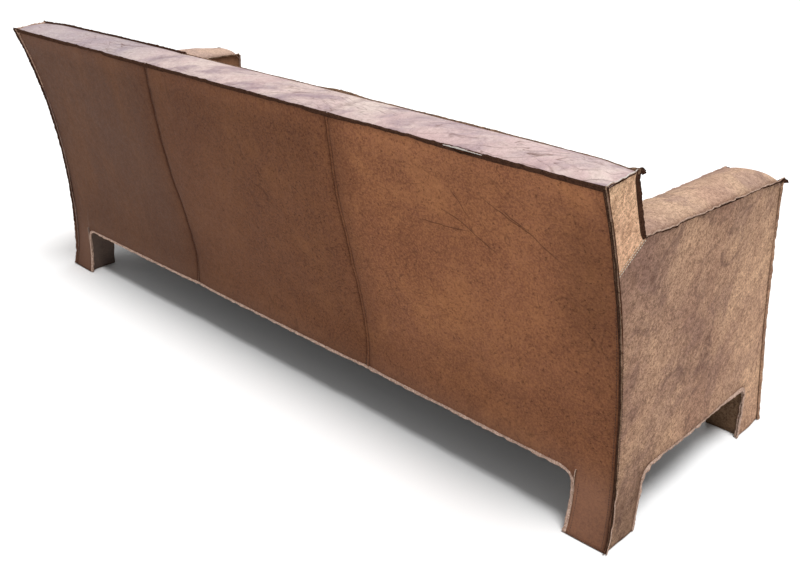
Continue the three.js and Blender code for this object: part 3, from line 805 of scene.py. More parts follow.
def outer_back(part, x0, x1, sign):
    if sign == 0:
        outline = [(x0, ARCH), (x1, ARCH), (x1, BACK_TOP), (x0, BACK_TOP)]
    else:
        arch = [(sign * u, v) for u, v in leg_arch(LEG_INNER, ARCH, ARCH_ROUND, FLARE)]
        outer = sign * (HALF - 0.001)
        outline = [(sign * SEAM_X, ARCH)] + arch[::-1]
        outline += [(outer, HEM), (outer, BACK_TOP), (sign * SEAM_X, BACK_TOP)]
    seams = ((x0, x1), (ARCH, BACK_TOP))
    name, skins, out = "back_cover_" + part, (BACK_HIDE, DARK_CUT), Vector((0, 1, 0))
    cover = cut_sheet(name, outline, back_point, out, skins, back_edge, seams=seams)
    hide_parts("outer_back_" + part)


PANELS = (("near", -HALF, -SEAM_X, -1), ("mid", -SEAM_X, SEAM_X, 0), ("far", SEAM_X, HALF, 1))
for panel in PANELS:
    outer_back(*panel)


# ---------------------------------------------------------------- sides and ends of the back
def side_point(sign, y, z):
    soft = 0.0045 * ripple(7 * sign, y, z, 0.24) + 0.0018 * ripple(3 * sign, y, z, 0.09)
    full = 0.006 * math.sin(math.pi * min(max((y - front_line(z)) / (corner_line(z) - front_line(z)), 0), 1))
    lowest = 0.006 * smooth(1 - z / 0.10) * ripple(sign, y, z, 0.05)
    return Vector((sign * (HALF - 0.003 + soft * 0.6 + full + lowest * 0.5), y, z))


def side_arch():
    """The edge of the arch under a side, from the foot of the front leg to the foot of the rear leg."""
    rounded = leg_arch(0.0, SIDE_ARCH, ARCH_ROUND, FLARE)
    front_leg = [(FRONT_LEG_Y - u, v) for u, v in rounded]
    spread = lambda v: 0.022 * smooth(1 - v / 0.12)
    rear_leg = [(REAR_LEG_Y - 0.022 + u + spread(v), v) for u, v in rounded]
    return front_leg + rear_leg[::-1]


def side_outline():
    steps = 22
    heights = [lerp(HEM, DIAGONAL_FOOT, i / steps) for i in range(steps + 1)]
    rear = [(corner_line(z), z) for z in heights]
    top = [(inner_surface(HALF, ARM_BACK_TOP), ARM_BACK_TOP)]
    front = [(front_line(z), z) for z in (lerp(ARM_FRONT_TOP, HEM, i / 16) for i in range(17))]
    return rear + top + front + side_arch()


def side_edge(y, z):
    rear, front = corner_line(z) - y, y - front_line(z)
    top = arm_top(y) - z if y < ARM_BACK_Y else 1.0
    low = z - (SIDE_ARCH if FRONT_LEG_Y < y < REAR_LEG_Y else HEM)
    narrow = 0.45 * away(rear, 0.012) + 0.5 * away(front, 0.010)
    narrow += 0.7 * away(top, 0.009) + 0.8 * away(low, 0.008)
    return narrow + (0.16 * away(rear, 0.05) + 0.15 * away(top, 0.05)) * (1 + ripple(17, y, z, 0.06))


def wing_outline():
    steps = 9
    up = [lerp(DIAGONAL_FOOT, BACK_TOP, i / steps) for i in range(steps + 1)]
    down = [lerp(FRONT_TOP, ARM_BACK_TOP, i / steps) for i in range(steps + 1)]
    rear = [(corner_line(z), z) for z in up]
    front = [(inner_surface(HALF, z), z) for z in down]
    return rear + front


def wing_edge(y, z):
    top = lerp(BACK_TOP, FRONT_TOP, (FOOT_Y + OVERHANG - y) / TOP_DEPTH) - z
    beside = 0.45 * away(corner_line(z) - y, 0.008) + 0.5 * away(y - inner_surface(HALF, z), 0.008)
    return beside + 0.6 * away(top, 0.008)


for part, sign in SIDES:
    out = Vector((sign, 0, 0))
    on_side = lambda y, z, sign=sign: side_point(sign, y, z)
    skins = (SIDE_HIDE, DARK_CUT)
    side = cut_sheet("side_cover_" + part, side_outline(), on_side, out, skins, side_edge)
    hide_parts("side_panel_" + part)
    skins = (WING_HIDE, DARK_CUT)
    wing = cut_sheet("wing_cover_" + part, wing_outline(), on_side, out, skins, wing_edge, 0.006)
    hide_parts("wing_end_" + part)


# ---------------------------------------------------------------- top of the back
def top_point(x, share):
    """A point of the top strips. share runs from the rear edge, 0, to the front edge, 1."""
    front = inner_surface(x, FRONT_TOP)
    y = lerp(FOOT_Y + OVERHANG - 0.006, front, share)
    z = lerp(BACK_TOP, FRONT_TOP, share)
    seam = min(abs(x - SEAM_X), abs(x + SEAM_X), HALF - abs(x))
    full = 0.010 * math.sin(math.pi * share) ** 0.7 * (1 - 0.75 * away(seam, 0.030))
    soft = 0.0022 * ripple(x, y, 0, 0.10) + 0.0012 * ripple(x * 1.6, y, 4, 0.035)
    pull = 0.0040 * away(seam, 0.07) * ripple((x + 0.6 * y) * 2.2, y * 0.4, 2, 0.05) * math.sin(math.pi * share)
    return Vector((x, y, z - 0.002 + full + soft * math.sin(math.pi * share) + pull))


def top_edge(x, share):
    seam = min(abs(x - SEAM_X), abs(x + SEAM_X))
    rear, front = share * TOP_DEPTH, (1 - share) * TOP_DEPTH
    return 0.75 * away(seam, 0.006) + 0.35 * away(rear, 0.006) + 0.3 * away(front, 0.008)


def top_strip(part, x0, x1):
    bm = bmesh.new()
    edge = bm.verts.layers.float.new("edge")
    along, across = round((x1 - x0) / 0.005), 26
    for vert, i, j in strip(bm, along, across):
        x, share = lerp(x0, x1, i / along), j / across
        vert[edge] = min(top_edge(x, share), 1.0)
        vert.co = top_point(x, share)
    faced(bm, Vector((0, 0, 1)))
    piece = thickened(finished("top_cover_" + part, bm, (TOP_HIDE, DARK_CUT)), HIDE)
    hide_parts("top_strip_" + part)


for part, x0, x1, sign in PANELS:
    top_strip(part, x0 + 0.001 * (sign < 0), x1 - 0.001 * (sign > 0))


# ---------------------------------------------------------------- inside of the back
def inner_point(x, z, x0, x1):
    side = min(x - x0, x1 - x)
    full = 0.014 * (1 - away(side, 0.07)) * math.sin(math.pi * min(max((z - 0.25) / 0.64, 0), 1))
    roll = 0.010 * away(FRONT_TOP - z, 0.016) + 0.006 * away(side, 0.014)
    soft = 0.004 * ripple(x, 11, z, 0.30) + 0.0018 * ripple(x, 13, z, 0.10)
    return Vector((x, inner_surface(x, z) - full + roll + soft, z))


def inner_back(part, x0, x1, sign):
    low, high = DECK - 0.010, FRONT_TOP - 0.002
    if sign == 0:
        outline = [(x0, low), (x1, low), (x1, high), (x0, high)]
    else:
        step = ARM_BACK_TOP - 0.002
        outline = [(sign * SEAM_X, low), (sign * (ARM_INNER - 0.001), low), (sign * (ARM_INNER - 0.001), step)]
        outline += [(sign * (HALF - 0.004), step), (sign * (HALF - 0.004), high), (sign * SEAM_X, high)]

    def edge(x, z):
        side = min(x - x0, x1 - x)
        return 0.7 * away(side, 0.018) + 0.7 * away(FRONT_TOP - z, 0.018) + 0.3 * away(side, 0.09)

    place = lambda x, z: inner_point(x, z, x0, x1)
    name, skins = "inner_back_cover_" + part, (SEAT_HIDE, DARK_CUT)
    seams = ((x0, x1), (high,))
    piece = cut_sheet(name, outline, place, Vector((0, -1, 0)), skins, edge, 0.011, seams)
    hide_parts("inner_back_" + part)


for part, x0, x1, sign in PANELS:
    inner_back(part, x0, x1, sign)


# ---------------------------------------------------------------- arms and front
def arm_line():
    """The line of the arm strip in the YZ plane: up the front, round the corner and back along the top."""
    bend = 0.040
    line = [(front_line(z), z) for z in (lerp(HEM, ARM_FRONT_TOP - bend, i / 50) for i in range(51))]
    start, corner = line[-1], (ARM_FRONT_Y, ARM_FRONT_TOP)
    finish = (ARM_FRONT_Y + bend, arm_top(ARM_FRONT_Y + bend))
    for i in range(1, 8):
        t = i / 8
        bent = ((1 - t) ** 2 * a + 2 * t * (1 - t) * b + t * t * c for a, b, c in zip(start, corner, finish))
        line.append(tuple(bent))
    for i in range(60):
        y = lerp(ARM_FRONT_Y + bend, ARM_BACK_Y + 0.003, i / 59)
        line.append((y, arm_top(y)))
    return line


def arch_inset(z):
    """How far the inner edge of the arm strip moves out to clear the arch under the front."""
    if z >= ARCH:
        return 0.0
    reach = LEG_INNER - ARM_INNER
    t = min((ARCH - z) / ARCH_ROUND, 1.0)
    return reach * math.sqrt(max(1 - (1 - t) ** 2, 0.0)) - FLARE * (1 - z / ARCH)


def arm_strip(part, sign):
    line = arm_line()
    last, across = len(line) - 1, 16

    def place(i, j):
        y, z = line[i]
        a, b = line[max(i - 1, 0)], line[min(i + 1, last)]
        length = math.hypot(b[0] - a[0], b[1] - a[1])
        out_y, out_z = -(b[1] - a[1]) / length, (b[0] - a[0]) / length
        share = j / across
        x = lerp(ARM_INNER + arch_inset(z), HALF - 0.002, share)
        on_top = smooth((z - 0.60) / 0.09)
        run = min(max((y - ARM_FRONT_Y) / (ARM_BACK_Y - ARM_FRONT_Y), 0.0), 1.0)
        crown = ARM_CROWN * on_top * math.sin(math.pi * min(run * 0.86 + 0.08, 1.0)) ** 0.5
        crown += 0.005 * (1 - on_top)
        full = crown * math.sin(math.pi * share) ** 0.75
        soft = 0.0030 * ripple(x, y, z, 0.11, sign) + 0.0016 * ripple(x, y, z, 0.04, sign)
        lift = full + soft * math.sin(math.pi * share)
        worn = arm_drop(y) * on_top * (1 - share) ** 1.4
        return Vector((sign * x, y + out_y * lift, z + out_z * lift - worn))

    bm = bmesh.new()
    edge = bm.verts.layers.float.new("edge")
    for vert, i, j in strip(bm, last, across):
        rim = min(j, across - j) / across * (HALF - ARM_INNER)
        vert[edge] = 0.7 * away(rim, 0.012)
        vert.co = place(i, j)
    faced(bm, Vector((0, -0.7, 0.7)))
    piece = thickened(finished("arm_cover_" + part, bm, (ARM_HIDE, PALE_CUT)), HIDE)
    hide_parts("arm_strip_" + part)


def inner_arm(part, sign):
    low = DECK - 0.010
    steps = 8
    up = [lerp(low, ARM_BACK_TOP, i / steps) for i in range(steps + 1)]
    down = [lerp(ARM_FRONT_TOP, low, i / steps) for i in range(steps + 1)]
    rear = [(inner_surface(ARM_INNER, z) + 0.004, z) for z in up]
    front = [(front_line(z) + 0.002, z) for z in down]

    def place(y, z):
        span = min(max((y - front_line(z)) / 0.55, 0), 1)
        rise = min(max((z - 0.24) / 0.47, 0), 1)
        full = 0.010 * math.sin(math.pi * span) ** 0.6 * math.sin(math.pi * rise)
        soft = 0.003 * ripple(sign * 4, y, z, 0.16)
        worn = arm_drop(y) * smooth((z - 0.50) / 0.15)
        return Vector((sign * (ARM_INNER - full - soft + 0.001), y, z - worn))

    def edge(y, z):
        return 0.6 * away(arm_top(y) - z, 0.014) + 0.6 * away(y - front_line(z), 0.014)

    name, skins = "inner_arm_cover_" + part, (SEAT_HIDE, DARK_CUT)
    piece = cut_sheet(name, rear + front, place, Vector((-sign, 0, 0)), skins, edge, 0.012)
    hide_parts("inner_arm_" + part)


for part, sign in SIDES:
    arm_strip(part, sign)
    inner_arm(part, sign)


def front_border():
    width = ARM_INNER - 0.001
    outline = [(-width, ARCH), (width, ARCH), (width, DECK), (-width, DECK)]

    def place(x, z):
        share = (z - ARCH) / (DECK - ARCH)
        full = 0.007 * math.sin(math.pi * share) + 0.002 * ripple(x, 0, z, 0.12)
        back = 0.002 * smooth((share - 0.8) / 0.2)
        return Vector((x, front_line(z) - full + back, z))

    def edge(x, z):
        return 0.6 * away(z - ARCH, 0.012) + 0.5 * away(DECK - z, 0.02) + 0.5 * away(width - abs(x), 0.02)

    skins = (SEAT_HIDE, DARK_CUT)
    out = Vector((0, -1, 0))
    piece = cut_sheet("front_border_cover", outline, place, out, skins, edge, 0.012)
    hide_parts("front_border")


def deck_band():
    """The leather of the front border carries on over the front of the deck, under the cushions."""
    bm = bmesh.new()
    bm.verts.layers.float.new("edge")
    width, deep = ARM_INNER - 0.012, 0.060
    for vert, i, j in strip(bm, 150, 10):
        x, share = lerp(-width, width, i / 150), j / 10
        y = front_line(DECK) + 0.002 + share * deep
        vert.co = Vector((x, y, DECK + 0.0040 - 0.0015 * (1 - share) ** 3 + 0.0006 * ripple(x, y, 0, 0.05)))
    faced(bm, Vector((0, 0, 1)))
    piece = thickened(finished("deck_band", bm, (SEAT_HIDE, DARK_CUT)), 0.0015)


front_border()
deck_band()


# ---------------------------------------------------------------- leg linings, dust cover and what is inside
def leg_lining(end, part, sign):
    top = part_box(f"leg_lining_{end}_{part}")[1].z + 0.004
    inner = LEG_INNER + 0.0006
    face_y = REAR_LEG_Y if end == "rear" else FRONT_LEG_Y
    depth = FOOT_Y - 0.012 if end == "rear" else FOOT_Y - FRONT_REACH + 0.020
    start = Vector((inner, depth))
    turn = Vector((inner, face_y))
    finish = Vector((HALF - 0.006, face_y))
    line = resampled([Vector((*start, 0)), Vector((*turn, 0)), Vector((*finish, 0))], 0.006)
    rows = 20
    bm = bmesh.new()
    edge = bm.verts.layers.float.new("edge")

    def place(i, j):
        z = lerp(HEM, top, j / rows)
        point = line[i]
        slack = 0.0030 * ripple(point.x, point.y, z, 0.05, sign) + 0.004 * math.sin(math.pi * j / rows)
        near_turn = away((point - line[round(len(line) * 0.45)]).length, 0.03)
        x = point.x - (slack if point.y != face_y else 0.0) + 0.004 * near_turn
        shift = slack if abs(point.y - face_y) < 0.001 else 0.0
        y = point.y - shift if end == "rear" else point.y + shift
        return Vector((sign * x, y, z + 0.002 * ripple(point.x, point.y, 0, 0.02) * (j == 0)))

    for vert, i, j in strip(bm, len(line) - 1, rows):
        vert[edge] = 0.8 * away(j / rows * 0.16, 0.02) + 0.3
        vert.co = place(i, j)
    faced(bm, Vector((-sign, -1 if end == "rear" else 1, 0)))
    piece = thickened(finished(f"lining_{end}_{part}", bm, (FLESH, PALE_CUT)), LIP)
    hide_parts(f"leg_lining_{end}_{part}")
    wide = abs(depth - face_y) + HALF - 0.006 - inner


for part, sign in SIDES:
    leg_lining("rear", part, sign)
    leg_lining("front", part, sign)


INSIDE = {
    "post": BEECH,
    "block": BEECH,
    "rail": BEECH,
    "brace": BEECH,
    "stile": BEECH,
    "spring": WIRE,
    "pad": FOAM,
    "cloth": CLOTH,
    "dust": CLOTH,
    "glide": GLIDE,
}
for name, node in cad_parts.items():
    for word, material in INSIDE.items():
        if word in name:
            node.data.materials.clear()
            node.data.materials.append(material)


# ---------------------------------------------------------------- seams
def sampled(function, start, end, spacing=0.01):
    count = max(2, round(abs(end - start) / spacing))
    return [Vector(function(lerp(start, end, i / count))) for i in range(count + 1)]


def bulge(at, middle, reach):
    """1 at the middle, falling smoothly to 0 at reach."""
    return smooth(1 - abs(at - middle) / reach)


BACK_LIP = (BACK_HIDE, DARK_CUT)
# Dark brown raw edges. On the top rear seam, the fronts of the wings and the side's lip of the outer arm seams
# they also stand in for the fins' shade, as painted shade.
DARK = (DARK_LIP, DARK_CUT)
PALE = (PALE_LIP, PALE_CUT)
TAN = (TAN_CUT, TAN_CUT)


def torn(point, side):
    """The rear top seam is torn open at one place of the near panel, and its far end sticks out."""
    tear = bulge(point.x, -0.790, 0.060)
    tip = bulge(point.x, HALF + 0.010, 0.022)
    if side:
        return 0.003 * tip - 0.002 * tear, 0.004 * tear
    return 0.005 * tip - 0.006 * tear, -0.006 * tear


def curled(point, side):
    """The lip of the top strip curls up and back over the tear."""
    curl = bulge(point.x, -0.785, 0.055) ** 1.5
    return 0.0052 * curl, -0.005 * curl


def top_rear_edge():
    y, z, out = FOOT_Y + OVERHANG - 0.007, BACK_TOP - 0.004, Vector((0, 0.42, 0.91))
    line = sampled(lambda x: (x, y, z), -HALF - 0.002, HALF + 0.008, 0.02)
    # Both lips dark: the dark brown raw edge with painted shade for the fin, which stands in shadow.
    skins, heights = (DARK, DARK), (1.0, 0.8)
    fin("seam_top_rear", line, out, 0.0052, skins, 0.08, 1.0, torn, heights=heights, sink=0.006)
    bm = bmesh.new()
    bm.verts.layers.float.new("edge")
    tear = sampled(lambda x: (x, FOOT_Y + OVERHANG - 0.003, BACK_TOP), -0.838, -0.736, 0.003)
    lip(bm, tear, out, 0.0004, 0.0, 1.4, 0, 0.4, 0.0010, 0.001, 0.0, curled)
    thickened(finished("seam_torn_lip", bm, (CURL_EDGE, CURL_EDGE)), 0.0010, 0.0)


def front_edge_height(point, side):
    """The front top seam stands up in places and is worn down in others."""
    brown = 0.0025 * bulge(point.x, -0.66, 0.30) + 0.0050 * bulge(point.x, -0.29, 0.10)
    return brown + 0.005 * bulge(point.x, -HALF, 0.030), 0.004 * side * bulge(point.x, -HALF, 0.03)


def top_front_edge():
    place = lambda x: (x, inner_surface(x, FRONT_TOP) + 0.003, FRONT_TOP - 0.003)
    out = Vector((0, -0.40, 0.92))
    far = sampled(place, SEAM_X - 0.01, HALF + 0.014, 0.02)
    fin("seam_top_front_far", far, out, 0.0085, (DARK, DARK), 0.10, 2.0)
    mid = sampled(place, -0.19, SEAM_X - 0.01, 0.02)
    fin("seam_top_front_mid", mid, out, 0.0042, (TAN, PALE), 0.10, 2.3)
    near = sampled(place, -HALF - 0.004, -0.19, 0.02)
    fin("seam_top_front_near", near, out, 0.0040, (TAN, DARK), 0.10, 2.6, front_edge_height)


def opened(point, side):
    """The corner seam gapes a little towards the foot."""
    low = smooth(1 - point.z / 0.30)
    return 0.0015 * low, 0.0035 * low * (0.5 + noise.noise(point * 30)) * (1 if side else -1)


def rear_corner(part, sign):
    line = sampled(lambda z: (sign * (HALF - 0.002), corner_line(z) - 0.003, z), HEM, BACK_TOP + 0.003)
    out = Vector((sign * 0.50, 0.86, 0))
    skins = paired(sign, DARK, (SIDE_HIDE, TAN_CUT) if sign < 0 else DARK)
    cut = min(range(len(line)), key=lambda i: abs(line[i].z - 0.16))
    name = "seam_corner_" + part
    fin(name, line[cut:], out, 0.0080, skins, 0.03, 3.0 + sign, opened, 0.0012, 0.22)
    skins, foot = paired(sign, BACK_LIP, (SIDE_HIDE, PALE_CUT)), line[: cut + 1]
    fin(name + "_foot", foot, out, 0.0080, skins, 0.06, 3.5 + sign, opened, 0.0015, 0.28)


def back_seam(part, sign, width, height):
    on = lambda z: back_point(sign * SEAM_X, z) + Vector((0, 0.0006, 0))
    line = sampled(on, ARCH, BACK_TOP - 0.004)
    out = Vector((0, 1, 0))
    welt("seam_back_" + part, line, out, width, height, BACK_HIDE, 5.0 + sign)
    rows = [([p + Vector((side * width / 2, 0.0002, 0)) for p in line], out) for side in (-1, 1)]
    stitches("stitches_back_" + part, rows, DARK_THREAD)


def inner_seam(part, sign):
    line = sampled(lambda z: (sign * SEAM_X, inner_surface(SEAM_X, z) + 0.004, z), DECK, FRONT_TOP - 0.004)
    skins = ((SEAT_HIDE, TAN_CUT), (SEAT_HIDE, TAN_CUT))
    fin("seam_inside_" + part, line, Vector((0, -1, 0)), 0.0080, skins, 0.12, 8.0 + sign)


def top_cross_seam(part, sign):
    line = [top_point(sign * SEAM_X, i / 20) + Vector((0, 0, 0.0004)) for i in range(21)]
    welt("seam_top_" + part, line, Vector((0, 0, 1)), 0.007, 0.0020, TOP_HIDE, 11.0 + sign)


def wing_seams(part, sign):
    edge_x = sign * (HALF - 0.002)

    def lapped(z):
        lap = 0.012 * smooth((FRONT_TOP + 0.012 - z) / 0.03) * smooth((z - ARM_BACK_TOP + 0.02) / 0.04)
        return edge_x, inner_surface(HALF, z) + lap + 0.001, z

    down = sampled(lapped, FRONT_TOP + 0.001, ARM_BACK_TOP)
    # Both lips dark: painted shade for the wrapped leather and the fin in shadow, over the raw edge's own dark
    # brown.
    skins = paired(sign, DARK, (DARK_LIP, TAN_CUT))
    out = Vector((sign * 0.50, -0.86, 0))
    fin("seam_wing_front_" + part, down, out, 0.0095, skins, 0.07, 14.0 + sign, ragged=0.26)
    rear = Vector((edge_x, FOOT_Y + OVERHANG - 0.007, BACK_TOP - 0.001))
    front = Vector((edge_x, inner_surface(HALF, FRONT_TOP) - 0.006, FRONT_TOP - 0.001))
    skins = paired(sign, (PALE_CUT, CURL_EDGE), DARK)
    out = Vector((sign * 0.60, 0, 0.80))
    heights = paired(sign, 1.0, 0.35)
    name = "seam_wing_top_" + part
    line = [rear, front]
    fin(name, line, out, 0.0050, skins, 0.06, 17.0 + sign, None, 0.0008, 0.4, heights, 0.0030)
    tip = [front + Vector((0, 0.006 - 0.005 * i, -0.0006 * i * i)) for i in range(5)]
    fin("tip_wing_" + part, tip, out, 0.0075, (DARK, DARK), 0.16, 18.0 + sign, ragged=0.3)


def arm_tip(point, side):
    """The front top corner of an arm has a curled tip."""
    tip = bulge(point.y, ARM_FRONT_Y - 0.016, 0.030)
    return 0.003 * tip, 0.004 * tip


def arm_seams(part, sign):
    on = lambda x: (lambda y: (sign * x, y, arm_top(y) - 0.002))
    outer = sampled(on(HALF - 0.002), ARM_BACK_Y + 0.004, ARM_FRONT_Y + 0.010)
    outer += [Vector((sign * (HALF - 0.001), ARM_FRONT_Y - 0.006, ARM_FRONT_TOP - 0.003))]
    out = Vector((sign * 0.62, 0, 0.78))
    # The lip on the side's edge is dark: painted shade for the side's lip in the shadow below the pale one.
    skins = paired(sign, (PALE_CUT, PALE_CUT), DARK)
    heights = paired(sign, 1.0, 0.45)
    name = "seam_arm_outer_" + part
    fin(name, outer, out, 0.0066, skins, 0.06, 20.0 + sign, None, 0.0008, 0.36, heights, 0.0028)
    tip_foot = Vector((sign * (HALF - 0.001), ARM_FRONT_Y + 0.008, ARM_FRONT_TOP - 0.002))
    tip = [tip_foot - Vector((0, 0.005 * i, 0.0005 * i * i)) for i in range(5)]
    skins = (DARK, DARK)
    fin("tip_arm_" + part, tip, out, 0.0052, skins, 0.16, 22.0 + sign, arm_tip, ragged=0.3)
    worn = lambda y: (sign * (ARM_INNER + 0.001), y, arm_top(y) - 0.002 - arm_drop(y))
    inner = sampled(worn, ARM_BACK_Y + 0.004, ARM_FRONT_Y + 0.006)
    skins = paired(-sign, (ARM_HIDE, PALE_CUT), (SEAT_HIDE, TAN_CUT))
    out = Vector((-sign * 0.96, 0, 0.28))
    fin("seam_arm_inner_" + part, inner, out, 0.0060, skins, 0.10, 24.0 + sign, ragged=0.3)
    for name, x, side, foot in (("outer", HALF - 0.002, sign, HEM), ("inner", ARM_INNER + 0.001, -sign, ARCH)):
        front = sampled(lambda z: (sign * x, front_line(z) + 0.003, z), ARM_FRONT_TOP - 0.004, foot)
        out = Vector((side * 0.60, -0.80, 0))
        name = f"seam_arm_front_{name}_{part}"
        skins = ((ARM_HIDE, TAN_CUT), (SIDE_HIDE, TAN_CUT))
        fin(name, front, out, 0.0048, skins, 0.10, 25.0 + x + sign, ragged=0.34)


def sloping_seam(part, sign):
    high = Vector((0, inner_surface(HALF, ARM_BACK_TOP), ARM_BACK_TOP))
    low = Vector((0, corner_line(DIAGONAL_FOOT), DIAGONAL_FOOT))
    line = [side_point(sign, p.y, p.z) for p in (high.lerp(low, i / 24) for i in range(25))]
    out = Vector((sign, 0, 0))
    welt("seam_slope_" + part, line, out, 0.0075, 0.0016, WING_HIDE, 31.0 + sign)
    shifts = [Vector((sign * 0.0010, side * 0.0040 * 0.51, side * 0.0040 * 0.86)) for side in (-1, 1)]
    rows = [([p + shift for p in line], out) for shift in shifts]
    stitches("stitches_slope_" + part, rows, PALE_THREAD, 0.0062, 0.0052, 0.0010)


def towards_opening(axis, middle, span):
    """For a point of an arch's edge, the direction square to the edge, into the opening."""

    def direction(point):
        off = point[axis] - middle
        beside = smooth((abs(off) - span + ARCH_ROUND) / ARCH_ROUND)
        out = Vector((0, 0, beside - 1.02))
        out[axis] = -math.copysign(beside, off)
        return out.normalized()

    return direction


def hem(name, line, direction, face, seed):
    """The raw hem along an arch: a pale cut strip that hangs past the leather, and a second layer behind it."""
    bm = bmesh.new()
    bm.verts.layers.float.new("edge")
    line = resampled(line, 0.005)
    lip(bm, line, direction, 0.0080, 0.0, seed, 0, 0.30, 0.0024, 0.0008)
    lip(bm, [p - face * 0.0042 for p in line], direction, 0.0065, 0.0, seed + 3, 0, 0.30, 0.0020, 0.0008)
    thickened(finished(name, bm, (HEM_EDGE, PALE_CUT)), 0.0030, 0.0)


def hems():
    arch = leg_arch(LEG_INNER, ARCH, ARCH_ROUND, FLARE)
    across = resampled([Vector((u, 0, v)) for u, v in arch + [(-u, v) for u, v in reversed(arch)]], 0.006)
    back = [back_point(p.x, p.z) - Vector((0, 0.0015, 0)) for p in across]
    front = [Vector((p.x, front_line(p.z) + 0.001, p.z)) for p in across]
    into = towards_opening(0, 0.0, LEG_INNER)
    hem("hem_back", back, into, Vector((0, 1, 0)), 40.0)
    hem("hem_front", front, into, Vector((0, -1, 0)), 48.0)
    into = towards_opening(1, (FRONT_LEG_Y + REAR_LEG_Y) / 2, (REAR_LEG_Y - FRONT_LEG_Y) / 2)
    for part, sign in SIDES:
        points = side_arch()
        line = [side_point(sign, y, z) + Vector((sign * 0.0006, 0, 0)) for y, z in points]
        hem("hem_side_" + part, line, into, Vector((sign, 0, 0)), 44.0 + sign)


def leg_stitches(part, sign):
    """Rows of dark stitches beside the corner and beside the hem of a rear leg."""
    out = Vector((0, 1, 0))
    corner = sampled(lambda z: back_point(sign * (HALF - 0.013), z), 0.008, 0.60)
    inside = lambda z: LEG_INNER + 0.010 - FLARE * (1 - z / ARCH)
    inner = sampled(lambda z: back_point(sign * inside(z), z), 0.010, ARCH - 0.03)
    on_side = Vector((sign, 0, 0))
    beside = sampled(lambda z: side_point(sign, corner_line(z) - 0.012, z), 0.012, 0.55)
    rows = [(corner, out), (inner, out), (beside, on_side)]
    stitches("stitches_leg_" + part, rows, DARK_THREAD, 0.0062, 0.0050, 0.0007)


top_rear_edge()
top_front_edge()
back_seam("near", -1, 0.0100, 0.0034)
back_seam("far", 1, 0.0050, 0.0016)
hems()
for part, sign in SIDES:
    rear_corner(part, sign)
    inner_seam(part, sign)
    top_cross_seam(part, sign)
    wing_seams(part, sign)
    arm_seams(part, sign)
    sloping_seam(part, sign)
    leg_stitches(part, sign)


# ---------------------------------------------------------------- seat cushions
MOST_BLOWN = 0.026  # how far the filling may push a cushion out


def cushion_shell(low, high):
    """A box cushion a little smaller than its space, with its edges rounded."""
    bm = bmesh.new()
    bmesh.ops.create_cube(bm, size=1.0)
    size = high - low
    bmesh.ops.scale(bm, vec=size, verts=bm.verts)
    bmesh.ops.translate(bm, vec=(low + high) / 2, verts=bm.verts)
    rounding = {"offset": 0.022, "offset_type": "OFFSET", "segments": 3, "profile": 0.5}
    bmesh.ops.bevel(bm, geom=bm.edges[:], affect="EDGES", material=-1, **rounding)
    return bm


def filled(piece, low):
    """Blows the cushion up with a cloth simulation, its underside held flat, and keeps it in its space."""
    remesh = piece.modifiers.new("even", "REMESH")
    remesh.mode = "VOXEL"
    remesh.voxel_size = 0.011
    bpy.context.view_layer.update()
    graph = bpy.context.evaluated_depsgraph_get()
    even = bpy.data.meshes.new_from_object(piece.evaluated_get(graph))
    piece.modifiers.clear()
    piece.data = even
    rest = [v.co.copy() for v in even.vertices]
    group = piece.vertex_groups.new(name="held")
    group.add([v.index for v in even.vertices if v.co.z < low.z + 0.012], 1.0, "REPLACE")
    cloth = piece.modifiers.new("cloth", "CLOTH")
    settings = cloth.settings
    settings.quality = 5
    settings.mass = 0.4
    settings.tension_stiffness = 18
    settings.compression_stiffness = 18
    settings.shear_stiffness = 6
    settings.bending_stiffness = 0.6
    settings.use_pressure = True
    settings.uniform_pressure_force = 4.0
    settings.effector_weights.gravity = 0.0
    settings.vertex_group_mass = "held"
    for number in range(1, 17):
        bpy.context.scene.frame_set(number)
    graph = bpy.context.evaluated_depsgraph_get()
    blown = bpy.data.meshes.new_from_object(piece.evaluated_get(graph))
    piece.modifiers.clear()
    piece.vertex_groups.clear()
    for vert, start in zip(blown.vertices, rest):
        move = vert.co - start
        if move.length > MOST_BLOWN:
            move *= MOST_BLOWN / move.length
        vert.co = start + move
    piece.data = blown
    bpy.context.scene.frame_set(1)


def seated(piece, low, high, seed):
    """Sat-in hollows and soft creases over a cushion's top, and sides that keep clear of the neighbours."""
    middle = (low + high) / 2
    for vert in piece.data.vertices:
        p = vert.co
        u = (p.x - middle.x) / (high.x - low.x) * 2
        v = (p.y - middle.y) / (high.y - low.y) * 2
        upper = smooth((p.z - middle.z) / (high.z - middle.z))
        hollow = 0.010 * max(0.0, 1 - u * u) * max(0.0, 1 - (v + 0.1) ** 2)
        soft = 0.005 * ripple(p.x, p.y, 0, 0.15, seed) + 0.0022 * ripple(p.x, p.y, 0, 0.05, seed)
        p.z += upper * (soft - hollow)
        p.x = min(max(p.x, low.x - 0.006), high.x + 0.006)
        p.y = min(max(p.y, low.y - 0.016), high.y + 0.008)
        p.z = max(p.z, low.z - 0.0015)


